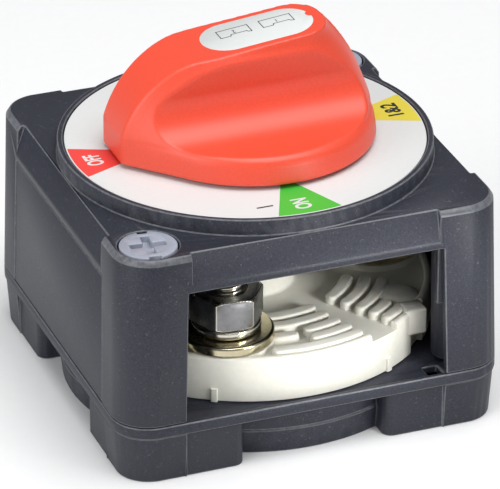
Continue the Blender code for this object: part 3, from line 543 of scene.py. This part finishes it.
def make_housing():
    low = SEAM_Z + GAP
    lip, head_hole, rail_low = 1.5 * MM, 7.75 * MM, 35 * MM
    rings = [(low, 0.0), (HOUSING_TOP_Z - lip, 0.0), (HOUSING_TOP_Z, 0.9 * MM)]
    outer = []
    for z, inset in rings:
        half = body_half(z) - inset
        outer.append(at_height(rounded_box(half, half, BODY_CORNER - inset), z))
    shell = mesh_object("housing_shell", loft(outer), NYLON, NYLON_EDGE_HIGHLIGHT)

    ceiling = HOUSING_TOP_Z - 3.0 * MM
    inner = []
    for z, inset in ((low - 1 * MM, WALL), (53 * MM, WALL), (ceiling, WALL + 2 * MM)):
        half = body_half(z) - inset
        inner.append(at_height(rounded_box(half, half, BODY_CORNER - inset), z))
    combine(shell, "DIFFERENCE", loft(inner))

    fold_z = 54.5 * MM
    shoulder = [(-body_half(fold_z), fold_z), (-48.7 * MM, HOUSING_TOP_Z + 0.1 * MM),
                (-FAR, HOUSING_TOP_Z + 0.1 * MM), (-FAR, fold_z)]
    cuts, rails = [], []
    for side in range(4):
        turn = 90.0 * side
        cuts.append(about_z(loft([[Vector((x, y, z)) for y, z in shoulder]
                                  for x in (-33 * MM, 33 * MM)]), turn))
        cuts.append(about_z(across_front(window_outline(0, low - 2 * MM), -FAR, -40 * MM),
                            turn))
        for hand in (-1, 1):
            edges = sorted((hand * 33.6 * MM, hand * 38.0 * MM))
            root = sorted((hand * 35.7 * MM, hand * 38.0 * MM))
            rails.append(about_z(box(*edges, -48.5 * MM, -46.4 * MM, rail_low,
                                     ceiling + 0.5 * MM), turn))
            rails.append(about_z(box(*root, -50.3 * MM, -48.3 * MM, rail_low, 58 * MM), turn))
    combine(shell, "DIFFERENCE", *cuts)
    under_top = 61 * MM
    pillars = [turned([(0, low + 0.2 * MM), (5.6 * MM, low + 0.2 * MM), (6.0 * MM, 50 * MM),
                       (9.2 * MM, 56 * MM), (9.2 * MM, under_top), (0, under_top)], 40,
                      sx * CORNER_OFFSET, sy * CORNER_OFFSET) for sx, sy in CORNERS]
    combine(shell, "UNION", *rails, *pillars)
    holes = []
    for sx, sy in SCREW_CORNERS:
        x, y = sx * CORNER_OFFSET, sy * CORNER_OFFSET
        holes += [cylinder(head_hole, SCREW_SEAT_Z, HOUSING_TOP_Z + 1 * MM, 64, x, y),
                  cylinder(SCREW_BORE, 10 * MM, SCREW_SEAT_Z + 1 * MM, 40, x, y)]
    combine(shell, "DIFFERENCE", *holes)
    combine(shell, "UNION", turned([
        (0, under_top), (BEZEL_OUTER, under_top), (BEZEL_OUTER, BEZEL_TOP_Z),
        (BEZEL_INNER, BEZEL_TOP_Z), (BEZEL_INNER, DIAL_SEAT_Z), (0, DIAL_SEAT_Z)], 160))
    combine(shell, "DIFFERENCE", cylinder(DIAL_HOLE, 55 * MM, 70 * MM, 64))
    # the lighter slot is a painted highlight on the bevels; the whole lip around the top also takes
    # this painted highlight, picked by how its faces tilt up, and its lower fold is under the
    # bevel's angle
    for face in shell.data.polygons:
        if HOUSING_TOP_Z - lip < face.center.z < HOUSING_TOP_Z and 0.3 < face.normal.z < 0.9:
            face.material_index = PAINTED_HIGHLIGHT_SLOT
    bevelled(shell, 0.32 * MM, 2, 35.0, PAINTED_HIGHLIGHT_SLOT)
    place(shell, "body", "housing_nylon", "housing")


def make_side_cover(name, turn):
    outline = window_outline(0.35 * MM, SEAM_Z + 0.4 * MM)
    skin, thick = 0.15 * MM, 2.0 * MM
    outer = [Vector((x, -(body_half(z) - skin), z)) for x, z in outline]
    inner = [Vector((x, -(body_half(z) - skin - thick), z)) for x, z in outline]
    panel = mesh_object(f"{name}_panel", about_z(loft([outer, inner]), turn), NYLON, NYLON_EDGE_HIGHLIGHT)
    hooks = []
    for side in (-1, 1):
        edges = sorted((side * 18 * MM, side * 26 * MM))
        hooks.append(about_z(loft([[Vector((x, y, z)) for y, z in (
            (-49.9 * MM, 45 * MM), (-49.9 * MM, 51 * MM), (-47.6 * MM, 51.3 * MM),
            (-47.6 * MM, 54.5 * MM), (-46.0 * MM, 54.5 * MM), (-46.0 * MM, 46.5 * MM))]
            for x in edges]), turn))
    combine(panel, "UNION", *hooks)
    # the panel's rounded edges take the lighter nylon as a painted highlight
    bevelled(panel, 0.3 * MM, 2, 35.0, PAINTED_HIGHLIGHT_SLOT)
    place(panel, "body", "housing_nylon", name)


def side_notch():
    """Plan of the wide gap between two corner blocks, with the boss showing in it."""
    block_end, boss_r = 19.0 * MM, 2.5 * MM
    face, corner_r = -(BODY_HALF - 1.5 * MM), 2.8 * MM
    half = [(block_end + corner_r, -FAR)]
    half += arc(block_end + corner_r, face + corner_r, corner_r, 270, 180, 8)
    half += arc(block_end - boss_r, -38.5 * MM, boss_r, 0, 90, 6)
    return half + [(-x, y) for x, y in reversed(half)]


def make_base_block():
    """Base without its chamber: drafted square, hollow corner blocks, boss and posts."""
    top_inset, ledge_rise = 0.4 * MM, 0.1 * MM
    bottom_inset = top_inset + BASE_DRAFT * PLATE_Z

    def square(inset, z):
        half = BODY_HALF - inset
        return at_height(rounded_box(half, half, BODY_CORNER - inset), z)

    base = mesh_object("base_body", loft([
        square(bottom_inset, 0.0), square(top_inset, PLATE_Z), square(0.0, PLATE_Z + ledge_rise),
        square(0.0, SEAM_Z)]), NYLON, NYLON_EDGE_HIGHLIGHT)
    pocket_start, pocket_end, recess = 21.4 * MM, BODY_HALF - 4.3 * MM, 35.0 * MM
    middle = (pocket_start + pocket_end) / 2
    half = pocket_end - middle
    cuts = []
    for side in range(4):
        turn = 90.0 * side
        skin = box(-recess, recess, -FAR, -(BODY_HALF - 1.5 * MM), -1 * MM, PLATE_Z)
        pocket = rounded_box(half, half, 5 * MM, 6, middle, middle)
        cuts += [about_z(prism(side_notch(), -1 * MM, PLATE_Z), turn), about_z(skin, turn),
                 about_z(prism(pocket, -1 * MM, PLATE_Z), turn)]
    combine(base, "DIFFERENCE", *cuts)
    boss_top = PLATE_Z + 1 * MM
    solids = [turned([
        (0, 0), (BOSS_RADIUS - 0.75 * MM, 0), (BOSS_RADIUS, BOSS_STEP_Z),
        (BOSS_RADIUS - 0.5 * MM, BOSS_STEP_Z), (BOSS_RADIUS - 0.5 * MM, boss_top),
        (0, boss_top)], 128)]
    solids += [cylinder(6.2 * MM, 0, boss_top, 40, sx * CORNER_OFFSET, sy * CORNER_OFFSET)
               for sx, sy in CORNERS]
    combine(base, "UNION", *solids)
    return base


def make_base():
    base = make_base_block()
    above = SEAM_Z + 1 * MM
    tray_half, tray_z = BODY_HALF - 1.5 * MM, DISC_LOW_Z - GAP
    combine(base, "DIFFERENCE",
            cylinder(CHAMBER_RADIUS, CHAMBER_FLOOR_Z, above, 96),
            prism(rounded_box(tray_half, tray_half, BODY_CORNER - 1.5 * MM), tray_z,
                  above + 1 * MM))
    posts = [cylinder(3.9 * MM, CHAMBER_FLOOR_Z - 1 * MM, tray_z, 24, *polar(SCREW_RING, angle))
             for angle in SCREW_ANGLES]
    posts.append(tube(24.6 * MM, 27 * MM, CHAMBER_FLOOR_Z - 1 * MM, DETENT_TOP_Z, 64))
    combine(base, "UNION", *posts)
    holes = []
    for angle in SCREW_ANGLES:
        x, y = polar(SCREW_RING, angle)
        holes += [cylinder(1.8 * MM, -1 * MM, above, 24, x, y),
                  cylinder(3.3 * MM, -1 * MM, 3.5 * MM, 32, x, y)]
    for number in range(4):
        notch = cylinder(1.6 * MM, CHAMBER_FLOOR_Z + 1 * MM, 12 * MM, 16)
        slot = box(31.5 * MM, 35.5 * MM, -49 * MM, -44.5 * MM, PLATE_Z - 1 * MM, above)
        holes += [moved(notch, Matrix.Translation((*polar(DETENT_RING, 90.0 * number), 0))),
                  about_z(slot, 90.0 * number)]
    combine(base, "DIFFERENCE", *holes)
    holes = []
    for sx, sy in SCREW_CORNERS:
        x, y = sx * CORNER_OFFSET, sy * CORNER_OFFSET
        holes += [cylinder(SCREW_BORE, 5 * MM, above, 32, x, y),
                  cylinder(2.6 * MM, -1 * MM, above, 32, x, -y)]
    combine(base, "DIFFERENCE", *holes)
    seal_groove = tube(45.0 * MM, 47.4 * MM, 13.0 * MM, above, 96)
    combine(base, "DIFFERENCE", seal_groove)
    # the base's rounded edges take the lighter nylon as a painted highlight
    bevelled(base, 0.32 * MM, 2, 35.0, PAINTED_HIGHLIGHT_SLOT)
    place(base, "body", "housing_nylon", "base")


# ---- dial ---------------------------------------------------------------------------------
def dial_mark(name, angle, surface):
    """Coloured wedge printed on the dial, wide at the rim and running in under the knob."""
    outer, half_outer, inner = 46.2 * MM, 8.4 * MM, 26.0 * MM
    reach = math.degrees(math.asin(half_outer / outer))
    outline = arc(0, 0, outer, -reach, reach, 14) + [(inner, 0.35 * MM), (inner, -0.35 * MM)]
    mark = mesh_object(name, about_z(prism(outline, DIAL_TOP_Z - 0.1 * MM,
                                           DIAL_TOP_Z + 0.02 * MM), angle), surface)
    place(mark, "body", "dial_white")


def lettering(name, words, size, turn, x, y, z, surface, squeeze=0.62):
    """Flat lettering centred at x, y; turn 0 reads along +X."""
    curve = bpy.data.curves.new(name, "FONT")
    curve.body = words
    curve.size = size
    curve.align_x = "CENTER"
    curve.align_y = "CENTER"
    curve.offset = size * 0.03
    curve.extrude = 0.01 * MM
    holder = bpy.data.objects.new(name + "_outline", curve)
    scene.collection.objects.link(holder)
    bpy.context.view_layer.update()
    graph = bpy.context.evaluated_depsgraph_get()
    mesh = bpy.data.meshes.new_from_object(holder.evaluated_get(graph))
    bpy.data.objects.remove(holder, do_unlink=True)
    mesh.transform(Matrix.Diagonal((squeeze, 1.0, 1.0, 1.0)))
    mesh.transform(Matrix.Translation((x, y, z)) @ Matrix.Rotation(math.radians(turn), 4, "Z"))
    mesh.materials.clear()
    mesh.materials.append(surface)
    obj = bpy.data.objects.new(name, mesh)
    scene.collection.objects.link(obj)
    return obj


def make_dial():
    low = DIAL_SEAT_Z + GAP
    plate = mesh_object("dial_disc", turned(rounded_profile([
        (DIAL_HOLE, low, 0), (DIAL_RADIUS, low, 0), (DIAL_RADIUS, DIAL_TOP_Z, 0.2 * MM),
        (DIAL_HOLE, DIAL_TOP_Z, 0)]), 160), DIAL_WHITE)
    place(plate, "body", "dial_white", "dial_plate")
    dial_mark("mark_off", 180.0, PRINT_RED)
    dial_mark("mark_on_1", -90.0, PRINT_GREEN)
    dial_mark("mark_both", 0.0, PRINT_YELLOW)
    dial_mark("mark_on_2", 90.0, PRINT_GREEN)
    ring, inner_ring, beside = 41.0 * MM, 39.6 * MM, 9.6 * MM
    for name, words, x, y, squeeze, surface in (
            ("text_off", "OFF", -ring, 0, 0.6, DIAL_WHITE),
            ("text_on_1", "ON", -0.4 * MM, -ring, 0.62, DIAL_WHITE),
            ("text_1", "1", -beside, -inner_ring, 0.62, PRINT_BLACK),
            ("text_both", "1&2", ring, 0, 0.86, PRINT_BLACK),
            ("text_on_2", "ON", -0.4 * MM, ring, 0.62, DIAL_WHITE),
            ("text_2", "2", -beside, inner_ring, 0.62, PRINT_BLACK)):
        piece = lettering(name, words, TEXT_SIZE, 90.0, x, y, DIAL_TOP_Z + 0.04 * MM, surface,
                          squeeze)
        place(piece, "body", "dial_white")


# ---- contact base -------------------------------------------------------------------------
RIB_RADII = (26.8 * MM, 31.6 * MM, 36.2 * MM, 40.5 * MM, 44.6 * MM)
RIB_HALF = 1.65 * MM
RIB_TOP_Z = 27.8 * MM
CHANNEL_START, CHANNEL_END = -69.2, -58.0
RIB_BED_Z = DISC_FLOOR_Z - 0.5 * MM


def rib_outline(radius, start, end, half):
    """Plan of a curved rib with round ends."""
    steps = max(4, int((end - start) / 2.5))
    outline = arc(0, 0, radius + half, start, end, steps)
    cx, cy = polar(radius, end)
    outline += arc(cx, cy, half, end, end + 180, 8)[1:-1]
    outline += arc(0, 0, radius - half, end, start, steps)
    cx, cy = polar(radius, start)
    outline += arc(cx, cy, half, start + 180, start + 360, 8)[1:-1]
    return outline


def rib(radius, start, end):
    end_turn = math.degrees(RIB_HALF / radius)
    start, end = start + end_turn, end - end_turn
    crown = 0.7 * MM
    rings = [at_height(rib_outline(radius, start, end, RIB_HALF + 0.1 * MM), RIB_BED_Z)]
    for a in (0, 30, 55, 75, 90):
        inset = crown * (1 - math.cos(math.radians(a)))
        rise = crown * math.sin(math.radians(a))
        rings.append(at_height(rib_outline(radius, start, end, RIB_HALF - inset),
                               RIB_TOP_Z - crown + rise))
    return loft(rings)


def make_contact_base():
    low = DISC_LOW_Z
    rim = 1.9 * MM
    skirt_top, hub_low, hub_radius = DISC_CEILING_Z, 22 * MM, 13 * MM
    disc = mesh_object("contact_disc", turned(rounded_profile([
        (TOWER_BORE, hub_low, 0), (hub_radius, hub_low, 0), (hub_radius, skirt_top, 0),
        (CHAMBER_RADIUS, skirt_top, 0), (CHAMBER_RADIUS, low, 0), (DISC_RADIUS, low, 0.3 * MM),
        (DISC_RADIUS, DISC_TOP_Z, 1.1 * MM), (DISC_RADIUS - rim, DISC_TOP_Z, 0.5 * MM),
        (DISC_RADIUS - rim, DISC_FLOOR_Z, 0), (TOWER_RADIUS, DISC_FLOOR_Z, 0.9 * MM),
        (TOWER_RADIUS - 1.1 * MM, TOWER_TOP_Z, 0), (TOWER_BORE, TOWER_TOP_Z, 0)]), 180), CREAM)
    seat_radius, washer_well = 12.2 * MM, 12.9 * MM
    seats = [cylinder(seat_radius, RIB_BED_Z, SEAT_TOP_Z, 64, *polar(STUD_RING, angle))
             for angle in STUD_ANGLES.values()]
    combine(disc, "UNION", *seats)
    outside, above = 51 * MM, 30 * MM
    channel = sector(46.5 * MM, outside, CHANNEL_START, CHANNEL_END, 6)
    relief = sector(47.1 * MM, outside, -49.5, -40.5, 6)
    holes = [about_z(prism(channel, DISC_FLOOR_Z, above), 120.0 * third) for third in range(3)]
    holes += [about_z(prism(relief, 10 * MM, above), 90.0 * side) for side in range(4)]
    for angle in STUD_ANGLES.values():
        x, y = polar(STUD_RING, angle)
        holes += [cylinder(STUD_BORE, 20 * MM, above, 40, x, y),
                  cylinder(washer_well, SEAT_TOP_Z, above + 2 * MM, 64, x, y)]
    combine(disc, "DIFFERENCE", *holes)
    place(disc, "body", "contact_base_white", "contact_base")

    ribs, bosses, pips = [], [], []
    for third in range(3):
        turn = 120.0 * third
        for number, radius in enumerate(RIB_RADII):
            start = -86.5 if 2 <= number <= 3 else -102.0
            ribs.append(about_z(rib(radius, start, CHANNEL_START), turn))
            end = -45.5 if number >= 3 else -28.0
            ribs.append(about_z(rib(radius, CHANNEL_END, end), turn))
        ribs.append(about_z(rib(37.4 * MM, -101.0, -89.5), turn))
        x, y = polar(SCREW_RING, SCREW_ANGLES[third])
        bosses.append(turned([
            (0, DISC_CEILING_Z), (5.2 * MM, DISC_CEILING_Z), (5.2 * MM, 26.5 * MM),
            (5.0 * MM, 27.0 * MM), (4.4 * MM, 27.4 * MM), (3.2 * MM, 27.7 * MM),
            (1.6 * MM, 27.9 * MM), (0, 27.95 * MM)], 40, x, y))
        for angle in (-120.0, -62.0):
            pip = rounded_box(1.0 * MM, 0.9 * MM, 0.35 * MM, 4, DISC_RADIUS - 0.3 * MM, 0)
            pips.append(about_z(prism(pip, DISC_LOW_Z, DISC_LOW_Z + 3.6 * MM), angle + turn))
    pieces = joined("contact_ribs", ribs + bosses + pips, CREAM)
    place(pieces, "body", "contact_base_white")

    lugs = [about_z(box(29.9 * MM, 35.6 * MM, -38 * MM, -32.5 * MM, 20.9 * MM, 28.2 * MM),
                    90.0 * side) for side in range(4)]
    ears = joined("contact_lugs", lugs, CREAM)
    bevelled(ears, 0.7 * MM, 3, 35.0)
    place(ears, "body", "contact_base_white")


# ---- terminals ----------------------------------------------------------------------------
def threaded_rod(radius, depth, pitch, low, high, cx, cy, steps=40, rows_per_turn=8):
    """Rod whose surface carries one continuous helical thread."""
    count = int((high - low) / pitch * rows_per_turn)
    rings = [[Vector((cx + x, cy + y, low - 8 * MM)) for x, y in circle(radius - depth, steps)]]
    taper = 1.0 * MM
    for row in range(count + 1):
        z = low + (high - low) * row / count
        ring = []
        for k in range(steps):
            phase = (z / pitch - k / steps) % 1.0
            crest = abs(2 * phase - 1)
            crest = min(1.0, max(0.0, (crest - 0.1) / 0.75))
            local = radius - depth * (1 - crest)
            local = min(local, radius - depth * 0.2 - max(0.0, (z - high + taper)) * 0.9)
            angle = 2 * math.pi * k / steps
            ring.append(Vector((cx + local * math.cos(angle), cy + local * math.sin(angle), z)))
        rings.append(ring)
    return loft(rings)


def make_terminal(label, angle):
    x, y = polar(STUD_RING, angle)
    rod = threaded_rod(STUD_RADIUS, 0.62 * MM, 1.5 * MM, 30 * MM, STUD_TOP_Z, x, y)
    head_low = 20.5 * MM
    head_high = 21.9 * MM if label == "common" else DISC_CEILING_Z - GAP
    head = turned(rounded_profile([
        (0, head_low, 0), (7.2 * MM, head_low, 0.3 * MM), (7.2 * MM, head_high, 0),
        (4.2 * MM, head_high, 0), (4.2 * MM, head_high + 0.5 * MM, 0),
        (0, head_high + 0.5 * MM, 0)]), 48, x, y)
    stud = joined(f"stud_{label}_threaded", [rod, head], NICKEL, smooth_angle=50.0)
    place(stud, "body", "nickel", f"stud_{label}")

    washer = mesh_object(f"flat_washer_{label}_plate", turned(rounded_profile([
        (STUD_BORE, WASHER_Z, 0), (WASHER_RADIUS, WASHER_Z, 0.5 * MM),
        (WASHER_RADIUS, WASHER_TOP_Z, 0.9 * MM), (STUD_BORE, WASHER_TOP_Z, 0.3 * MM)]), 96, x, y),
        NICKEL_WARM, smooth_angle=60.0)
    place(washer, "body", "nickel", f"flat_washer_{label}")

    make_spring_washer(label, x, y)
    make_nut(label, x, y)


def make_spring_washer(label, x, y):
    """Split ring that climbs a little from one end to the other."""
    inner, outer, climb = 5.3 * MM, 9.0 * MM, 0.25 * MM
    low, high = WASHER_TOP_Z + STACK_GAP, LOCK_TOP_Z
    rings = []
    steps = 60
    for i in range(steps + 1):
        a = math.radians(73 + 354 * i / steps)
        rise = climb * (i / steps)
        section = rounded_box((outer - inner) / 2, (high - low - climb) / 2, 0.5 * MM, 3,
                              (inner + outer) / 2, (high + low - climb) / 2 + rise)
        rings.append([Vector((x + r * math.cos(a), y + r * math.sin(a), z)) for r, z in section])
    lock = mesh_object(f"spring_washer_{label}_split", loft(rings), NICKEL, smooth_angle=60.0)
    place(lock, "body", "nickel", f"spring_washer_{label}")


def make_nut(label, x, y):
    nut_low = LOCK_TOP_Z + STACK_GAP
    corner = NUT_ACROSS_FLATS / math.sqrt(3)
    nut = mesh_object(f"nut_{label}_hex", prism(circle(corner, 6, x, y, NUT_TURN), nut_low,
                                                NUT_TOP_Z), NUT_STEEL, NICKEL)
    narrow, wide, crown = corner - 1.1 * MM, corner + 0.9 * MM, 1.2 * MM
    under, over = nut_low - 0.1 * MM, NUT_TOP_Z + 0.1 * MM
    combine(nut, "INTERSECT", turned([
        (0, under), (narrow, under), (wide, nut_low + crown), (wide, NUT_TOP_Z - crown),
        (narrow, over), (0, over)], 120, x, y))
    bore, bore_low, bore_high = 5.0 * MM, nut_low - 1 * MM, NUT_TOP_Z + 0.2 * MM
    combine(nut, "DIFFERENCE", turned([
        (0, bore_low), (bore, bore_low), (bore, NUT_TOP_Z - 0.5 * MM), (5.7 * MM, bore_high),
        (0, bore_high)], 60, x, y))
    # the nut's rounded edges take the brighter nickel as a painted highlight
    bevelled(nut, 0.25 * MM, 3, 24.0, PAINTED_HIGHLIGHT_SLOT)
    place(nut, "body", "nickel", f"nut_{label}")


# ---- knob ---------------------------------------------------------------------------------
NOSE_POINTS = 10
SIDE_POINTS = 70
CORNER_POINTS = 6


def half_outline_low():
    """Half of the knob's foot (y > 0): pointer end, flank, then the round tail."""
    points = [(KNOB_NOSE_X, KNOB_NOSE_HALF * i / NOSE_POINTS) for i in range(NOSE_POINTS)]
    corner_r = 1.6 * MM
    corner = (KNOB_NOSE_X + corner_r, KNOB_NOSE_HALF)
    dx = corner[0] - KNOB_CENTRE_X
    reach = math.hypot(dx, corner[1])
    leaning = math.acos((KNOB_RADIUS - corner_r) / reach)
    tangent = math.atan2(corner[1], dx) - leaning
    start = (corner[0] + corner_r * math.cos(tangent), corner[1] + corner_r * math.sin(tangent))
    points += arc(*corner, corner_r, 180, math.degrees(tangent), CORNER_POINTS)[:-1]
    touch = (KNOB_CENTRE_X + KNOB_RADIUS * math.cos(tangent), KNOB_RADIUS * math.sin(tangent))
    straight = math.dist(start, touch)
    bend = KNOB_RADIUS * tangent
    for i in range(SIDE_POINTS + 1):
        along = (straight + bend) * i / SIDE_POINTS
        if along < straight:
            part = along / straight
            points.append((start[0] + (touch[0] - start[0]) * part,
                           start[1] + (touch[1] - start[1]) * part))
        else:
            angle = tangent * (1 - (along - straight) / bend)
            points.append((KNOB_CENTRE_X + KNOB_RADIUS * math.cos(angle),
                           KNOB_RADIUS * math.sin(angle)))
    return points


def half_outline_top():
    """Half of the flat grip top (y > 0), point for point with the foot."""
    nose, tail, half = -15 * MM, 20.6 * MM, 9.7 * MM
    corner_r, tail_r = 1.6 * MM, 7.8 * MM
    points = [(nose, (half - corner_r) * i / NOSE_POINTS) for i in range(NOSE_POINTS)]
    points += arc(nose + corner_r, half - corner_r, corner_r, 180, 90, CORNER_POINTS)[:-1]
    straight = tail - tail_r - (nose + corner_r)
    bend = tail_r * math.pi / 2
    flat = half - tail_r
    length = straight + bend + flat
    for i in range(SIDE_POINTS + 1):
        along = length * i / SIDE_POINTS
        if along < straight:
            points.append((nose + corner_r + along, half))
        elif along < straight + bend:
            angle = math.pi / 2 - (along - straight) / tail_r
            points.append((tail - tail_r + tail_r * math.cos(angle),
                           half - tail_r + tail_r * math.sin(angle)))
        else:
            points.append((tail, max(0.0, length - along)))
    return points


def mirrored(half):
    return half + [(x, -y) for x, y in reversed(half[1:-1])]


def grip_top(x):
    return KNOB_TOP_Z + KNOB_TOP_SLOPE * x


def drawn_in(x, y, scale):
    """Skirt point moved toward the axis, except at the pointer's end, which stays upright."""
    scale = 1 - (1 - scale) * min(1.0, (x - KNOB_NOSE_X) / (20 * MM))
    return x * scale, y * scale


def knob_rings():
    low, top = mirrored(half_outline_low()), mirrored(half_outline_top())
    last = len(half_outline_low()) - 1
    turned_in = NOSE_POINTS + CORNER_POINTS
    rings = []
    for z, scale in ((KNOB_BOTTOM_Z, 0.985), (KNOB_BOTTOM_Z + 0.6 * MM, 1.0),
                     (KNOB_BOTTOM_Z + 2.5 * MM, 0.994), (KNOB_BOTTOM_Z + 5 * MM, 0.982),
                     (KNOB_BOTTOM_Z + 6.4 * MM, 0.964), (KNOB_SKIRT_Z, 0.938)):
        rings.append([Vector((*drawn_in(x, y, scale), z)) for x, y in low])
    steps = 44
    first = math.asin((KNOB_SKIRT_Z + 0.6 * MM - KNOB_BOTTOM_Z) / (KNOB_TOP_Z - KNOB_BOTTOM_Z))
    for step in range(steps + 1):
        lift = first + (math.pi / 2 - first) * step / steps
        ring = []
        for i, ((bx, by), (tx, ty)) in enumerate(zip(low, top)):
            index = min(i, len(low) - i)
            along = max(0.0, (index - turned_in) / (last - turned_in))
            fullness = 1.15 + 0.71 * along + 2.34 * math.sin(math.pi * along ** 1.275) ** 0.8
            upright = 1 + 0.05 * max(0.0, 1 - 3 * along)
            shrink = upright * math.cos(lift) ** fullness if step < steps else 0.0
            high = grip_top(tx)
            ring.append(Vector((tx + (bx - tx) * shrink, ty + (by - ty) * shrink,
                                KNOB_BOTTOM_Z + (high - KNOB_BOTTOM_Z) * math.sin(lift))))
        rings.append(ring)
    return rings


def scoop(side):
    """Finger scoop beside the grip: undercut wall, round cove and flat floor, ended at the nose."""
    cove, above = 10.35 * MM, 110 * MM
    end_start, end_radius = -27.1 * MM, 17.5 * MM
    stations = [40 * MM, end_start] + [
        end_start - end_radius * math.sin(math.radians(a)) for a in range(5, 70, 5)]
    rings = []
    for x in stations:
        past = max(0.0, end_start - x)
        inset = end_radius - math.sqrt(max(0.0, end_radius ** 2 - past ** 2))
        wall = 10.45 * MM + inset
        floor = KNOB_SKIRT_Z + 0.2 * MM + 0.01 * x - 0.15 * inset
        profile = [(wall + 0.65 * MM, grip_top(x) - 2.3 * MM), (wall + 0.8 * MM, above),
                   (FAR, above), (FAR, floor)]
        profile += [(wall + cove - cove * math.sin(math.radians(a)),
                     floor + cove - cove * math.cos(math.radians(a))) for a in range(0, 91, 6)]
        rings.append([Vector((x, side * y, z)) for y, z in profile])
    return loft(rings)


ON_GRIP = (Matrix.Translation((0, 0, KNOB_TOP_Z))
           @ Matrix.Rotation(-math.atan(KNOB_TOP_SLOPE), 4, "Y"))


def label_outline():
    return rounded_box(15.0 * MM, 7.6 * MM, 7.5 * MM, 24, 3.0 * MM, 0.0)


def battery_sign(name, left, near):
    """Thin outline of a battery, drawn with its stepped top toward -Y."""
    half = 0.13 * MM
    wide, deep, step = 8.4 * MM, 4.0 * MM, 0.8 * MM
    corners = [(0, deep), (wide, deep), (wide, 0), (0.9 * wide, step * 0.3), (0.86 * wide, step),
               (0.36 * wide, step), (0.32 * wide, 0), (0, 0)]
    strokes = []
    for (ax, ay), (bx, by) in zip(corners, corners[1:] + corners[:1]):
        length = math.dist((ax, ay), (bx, by))
        turn = math.atan2(by - ay, bx - ax)
        stroke = box(-half, length + half, -half, half, 0.07 * MM, 0.09 * MM)
        strokes.append(moved(stroke, Matrix.Translation((left + ax, near + ay, 0))
                             @ Matrix.Rotation(turn, 4, "Z")))
    return joined(name, strokes, PRINT_GREY)


def make_knob():
    grip = mesh_object("knob_grip", loft(knob_rings()), KNOB_RED)
    combine(grip, "DIFFERENCE", scoop(1), scoop(-1))
    step = grip.modifiers.new("remesh", "REMESH")
    step.mode = "VOXEL"
    step.voxel_size = 0.38 * MM
    step = grip.modifiers.new("soften", "SMOOTH")
    step.factor = 0.5
    step.iterations = 7
    applied(grip, 80.0)
    place(grip, "selector", "knob_red", "knob")

    label = mesh_object("knob_label_plate", prism(label_outline(), -0.5 * MM, 0.06 * MM),
                        DIAL_WHITE)
    combine(label, "DIFFERENCE", cylinder(1.5 * MM, -1 * MM, 1 * MM, 24, 18.4 * MM, 1.3 * MM))
    bevelled(label, 0.12 * MM, 2, 35.0)
    label.data.transform(ON_GRIP)
    place(label, "selector", "dial_white", "knob_label")
    for number, left in ((1, 4.9), (2, -6.7)):
        sign = battery_sign(f"knob_battery_{number}", left * MM, -0.2 * MM)
        digit = lettering(f"knob_digit_{number}", str(number), 2.1 * MM, 180.0,
                          (left + 4.2) * MM, 1.9 * MM, 0.09 * MM, PRINT_GREY)
        for piece in (sign, digit):
            piece.data.transform(ON_GRIP)
            place(piece, "selector", "dial_white")


# ---- cover screws -------------------------------------------------------------------------
def make_cover_screw(number, sx, sy):
    x, y = sx * CORNER_OFFSET, sy * CORNER_OFFSET
    shank, head = 3.0 * MM, 7.3 * MM
    head_low, head_top = SCREW_SEAT_Z + GAP, HOUSING_TOP_Z + 0.15 * MM
    screw = mesh_object(f"cover_screw_{number}_head", turned([
        (0, 8 * MM), (2.4 * MM, 8 * MM), (shank, 9 * MM), (shank, head_low),
        (head, head_low), (head, head_top), (0, head_top)], 72), SCREW_GREY)
    reach, half, floor = 4.6 * MM, 1.1 * MM, head_top - 1.9 * MM
    arm = [(reach, -half), (reach, half), (half, half)]
    cross = [(u * cos - v * sin, u * sin + v * cos)
             for cos, sin in ((1, 0), (0, 1), (-1, 0), (0, -1)) for u, v in arm]
    slots = [about_z(prism(cross, floor, head_top + 1 * MM), -6.0)]
    for turn in (84.0, 264.0):
        slots.append(about_z(box(6.2 * MM, 9 * MM, -1.3 * MM, 1.3 * MM, floor,
                                 head_top + 1 * MM), turn))
    combine(screw, "DIFFERENCE", *slots)
    bevelled(screw, 0.3 * MM, 3, 35.0)
    screw.data.transform(Matrix.Translation((x, y, 0)))
    place(screw, f"cover_screw_{number}", "screw_grey", f"cover_screw_{number}")


# ---- carried CAD nodes --------------------------------------------------------------------
CARRIED = {
    "common_strap": COPPER, "moving_contact": COPPER, "spindle": ROTOR_BLACK,
    "rotor": ROTOR_BLACK, "base_seal": SEAL_BLACK, "spindle_seal": SEAL_BLACK,
    "knob_screw": NICKEL, "base_screw_1": SPRING_STEEL, "base_screw_2": SPRING_STEEL,
    "base_screw_3": SPRING_STEEL, "contact_spring_1": SPRING_STEEL,
    "contact_spring_2": SPRING_STEEL, "contact_spring_3": SPRING_STEEL,
    "detent_spring_1": SPRING_STEEL, "detent_spring_2": SPRING_STEEL,
    "detent_ball_1": SPRING_STEEL, "detent_ball_2": SPRING_STEEL,
}


def dress_carried_nodes():
    for name, surface in CARRIED.items():
        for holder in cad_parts[name].material_slots:
            holder.material = surface


def make_floor():
    floor_made, tree, shader = new_material("floor_paper")
    where = object_coordinates(tree)
    grain = add_noise(tree, where, 300.0)
    tree.links.new(add_mix(tree, grain, (0.90, 0.90, 0.90), (0.93, 0.93, 0.93)),
                   shader.inputs["Base Color"])
    shader.inputs["Roughness"].default_value = 0.9
    shader.inputs["Specular IOR Level"].default_value = 0.2
    bm = bmesh.new()
    bmesh.ops.create_grid(bm, x_segments=1, y_segments=1, size=6.0)
    bmesh.ops.translate(bm, verts=bm.verts, vec=(0, 0, cad_box[0][2] - 0.05 * MM))
    mesh_object("floor", bm, floor_made)


make_camera()
make_lights()
make_floor()
make_housing()
for cover, turn in (("side_cover_left", -90.0), ("side_cover_rear", 180.0),
                    ("side_cover_right", 90.0)):
    make_side_cover(cover, turn)
make_base()
make_dial()
make_contact_base()
for label, angle in STUD_ANGLES.items():
    make_terminal(label, angle)
make_knob()
for number, (sx, sy) in enumerate(reversed(SCREW_CORNERS), 1):
    make_cover_screw(number, sx, sy)
dress_carried_nodes()
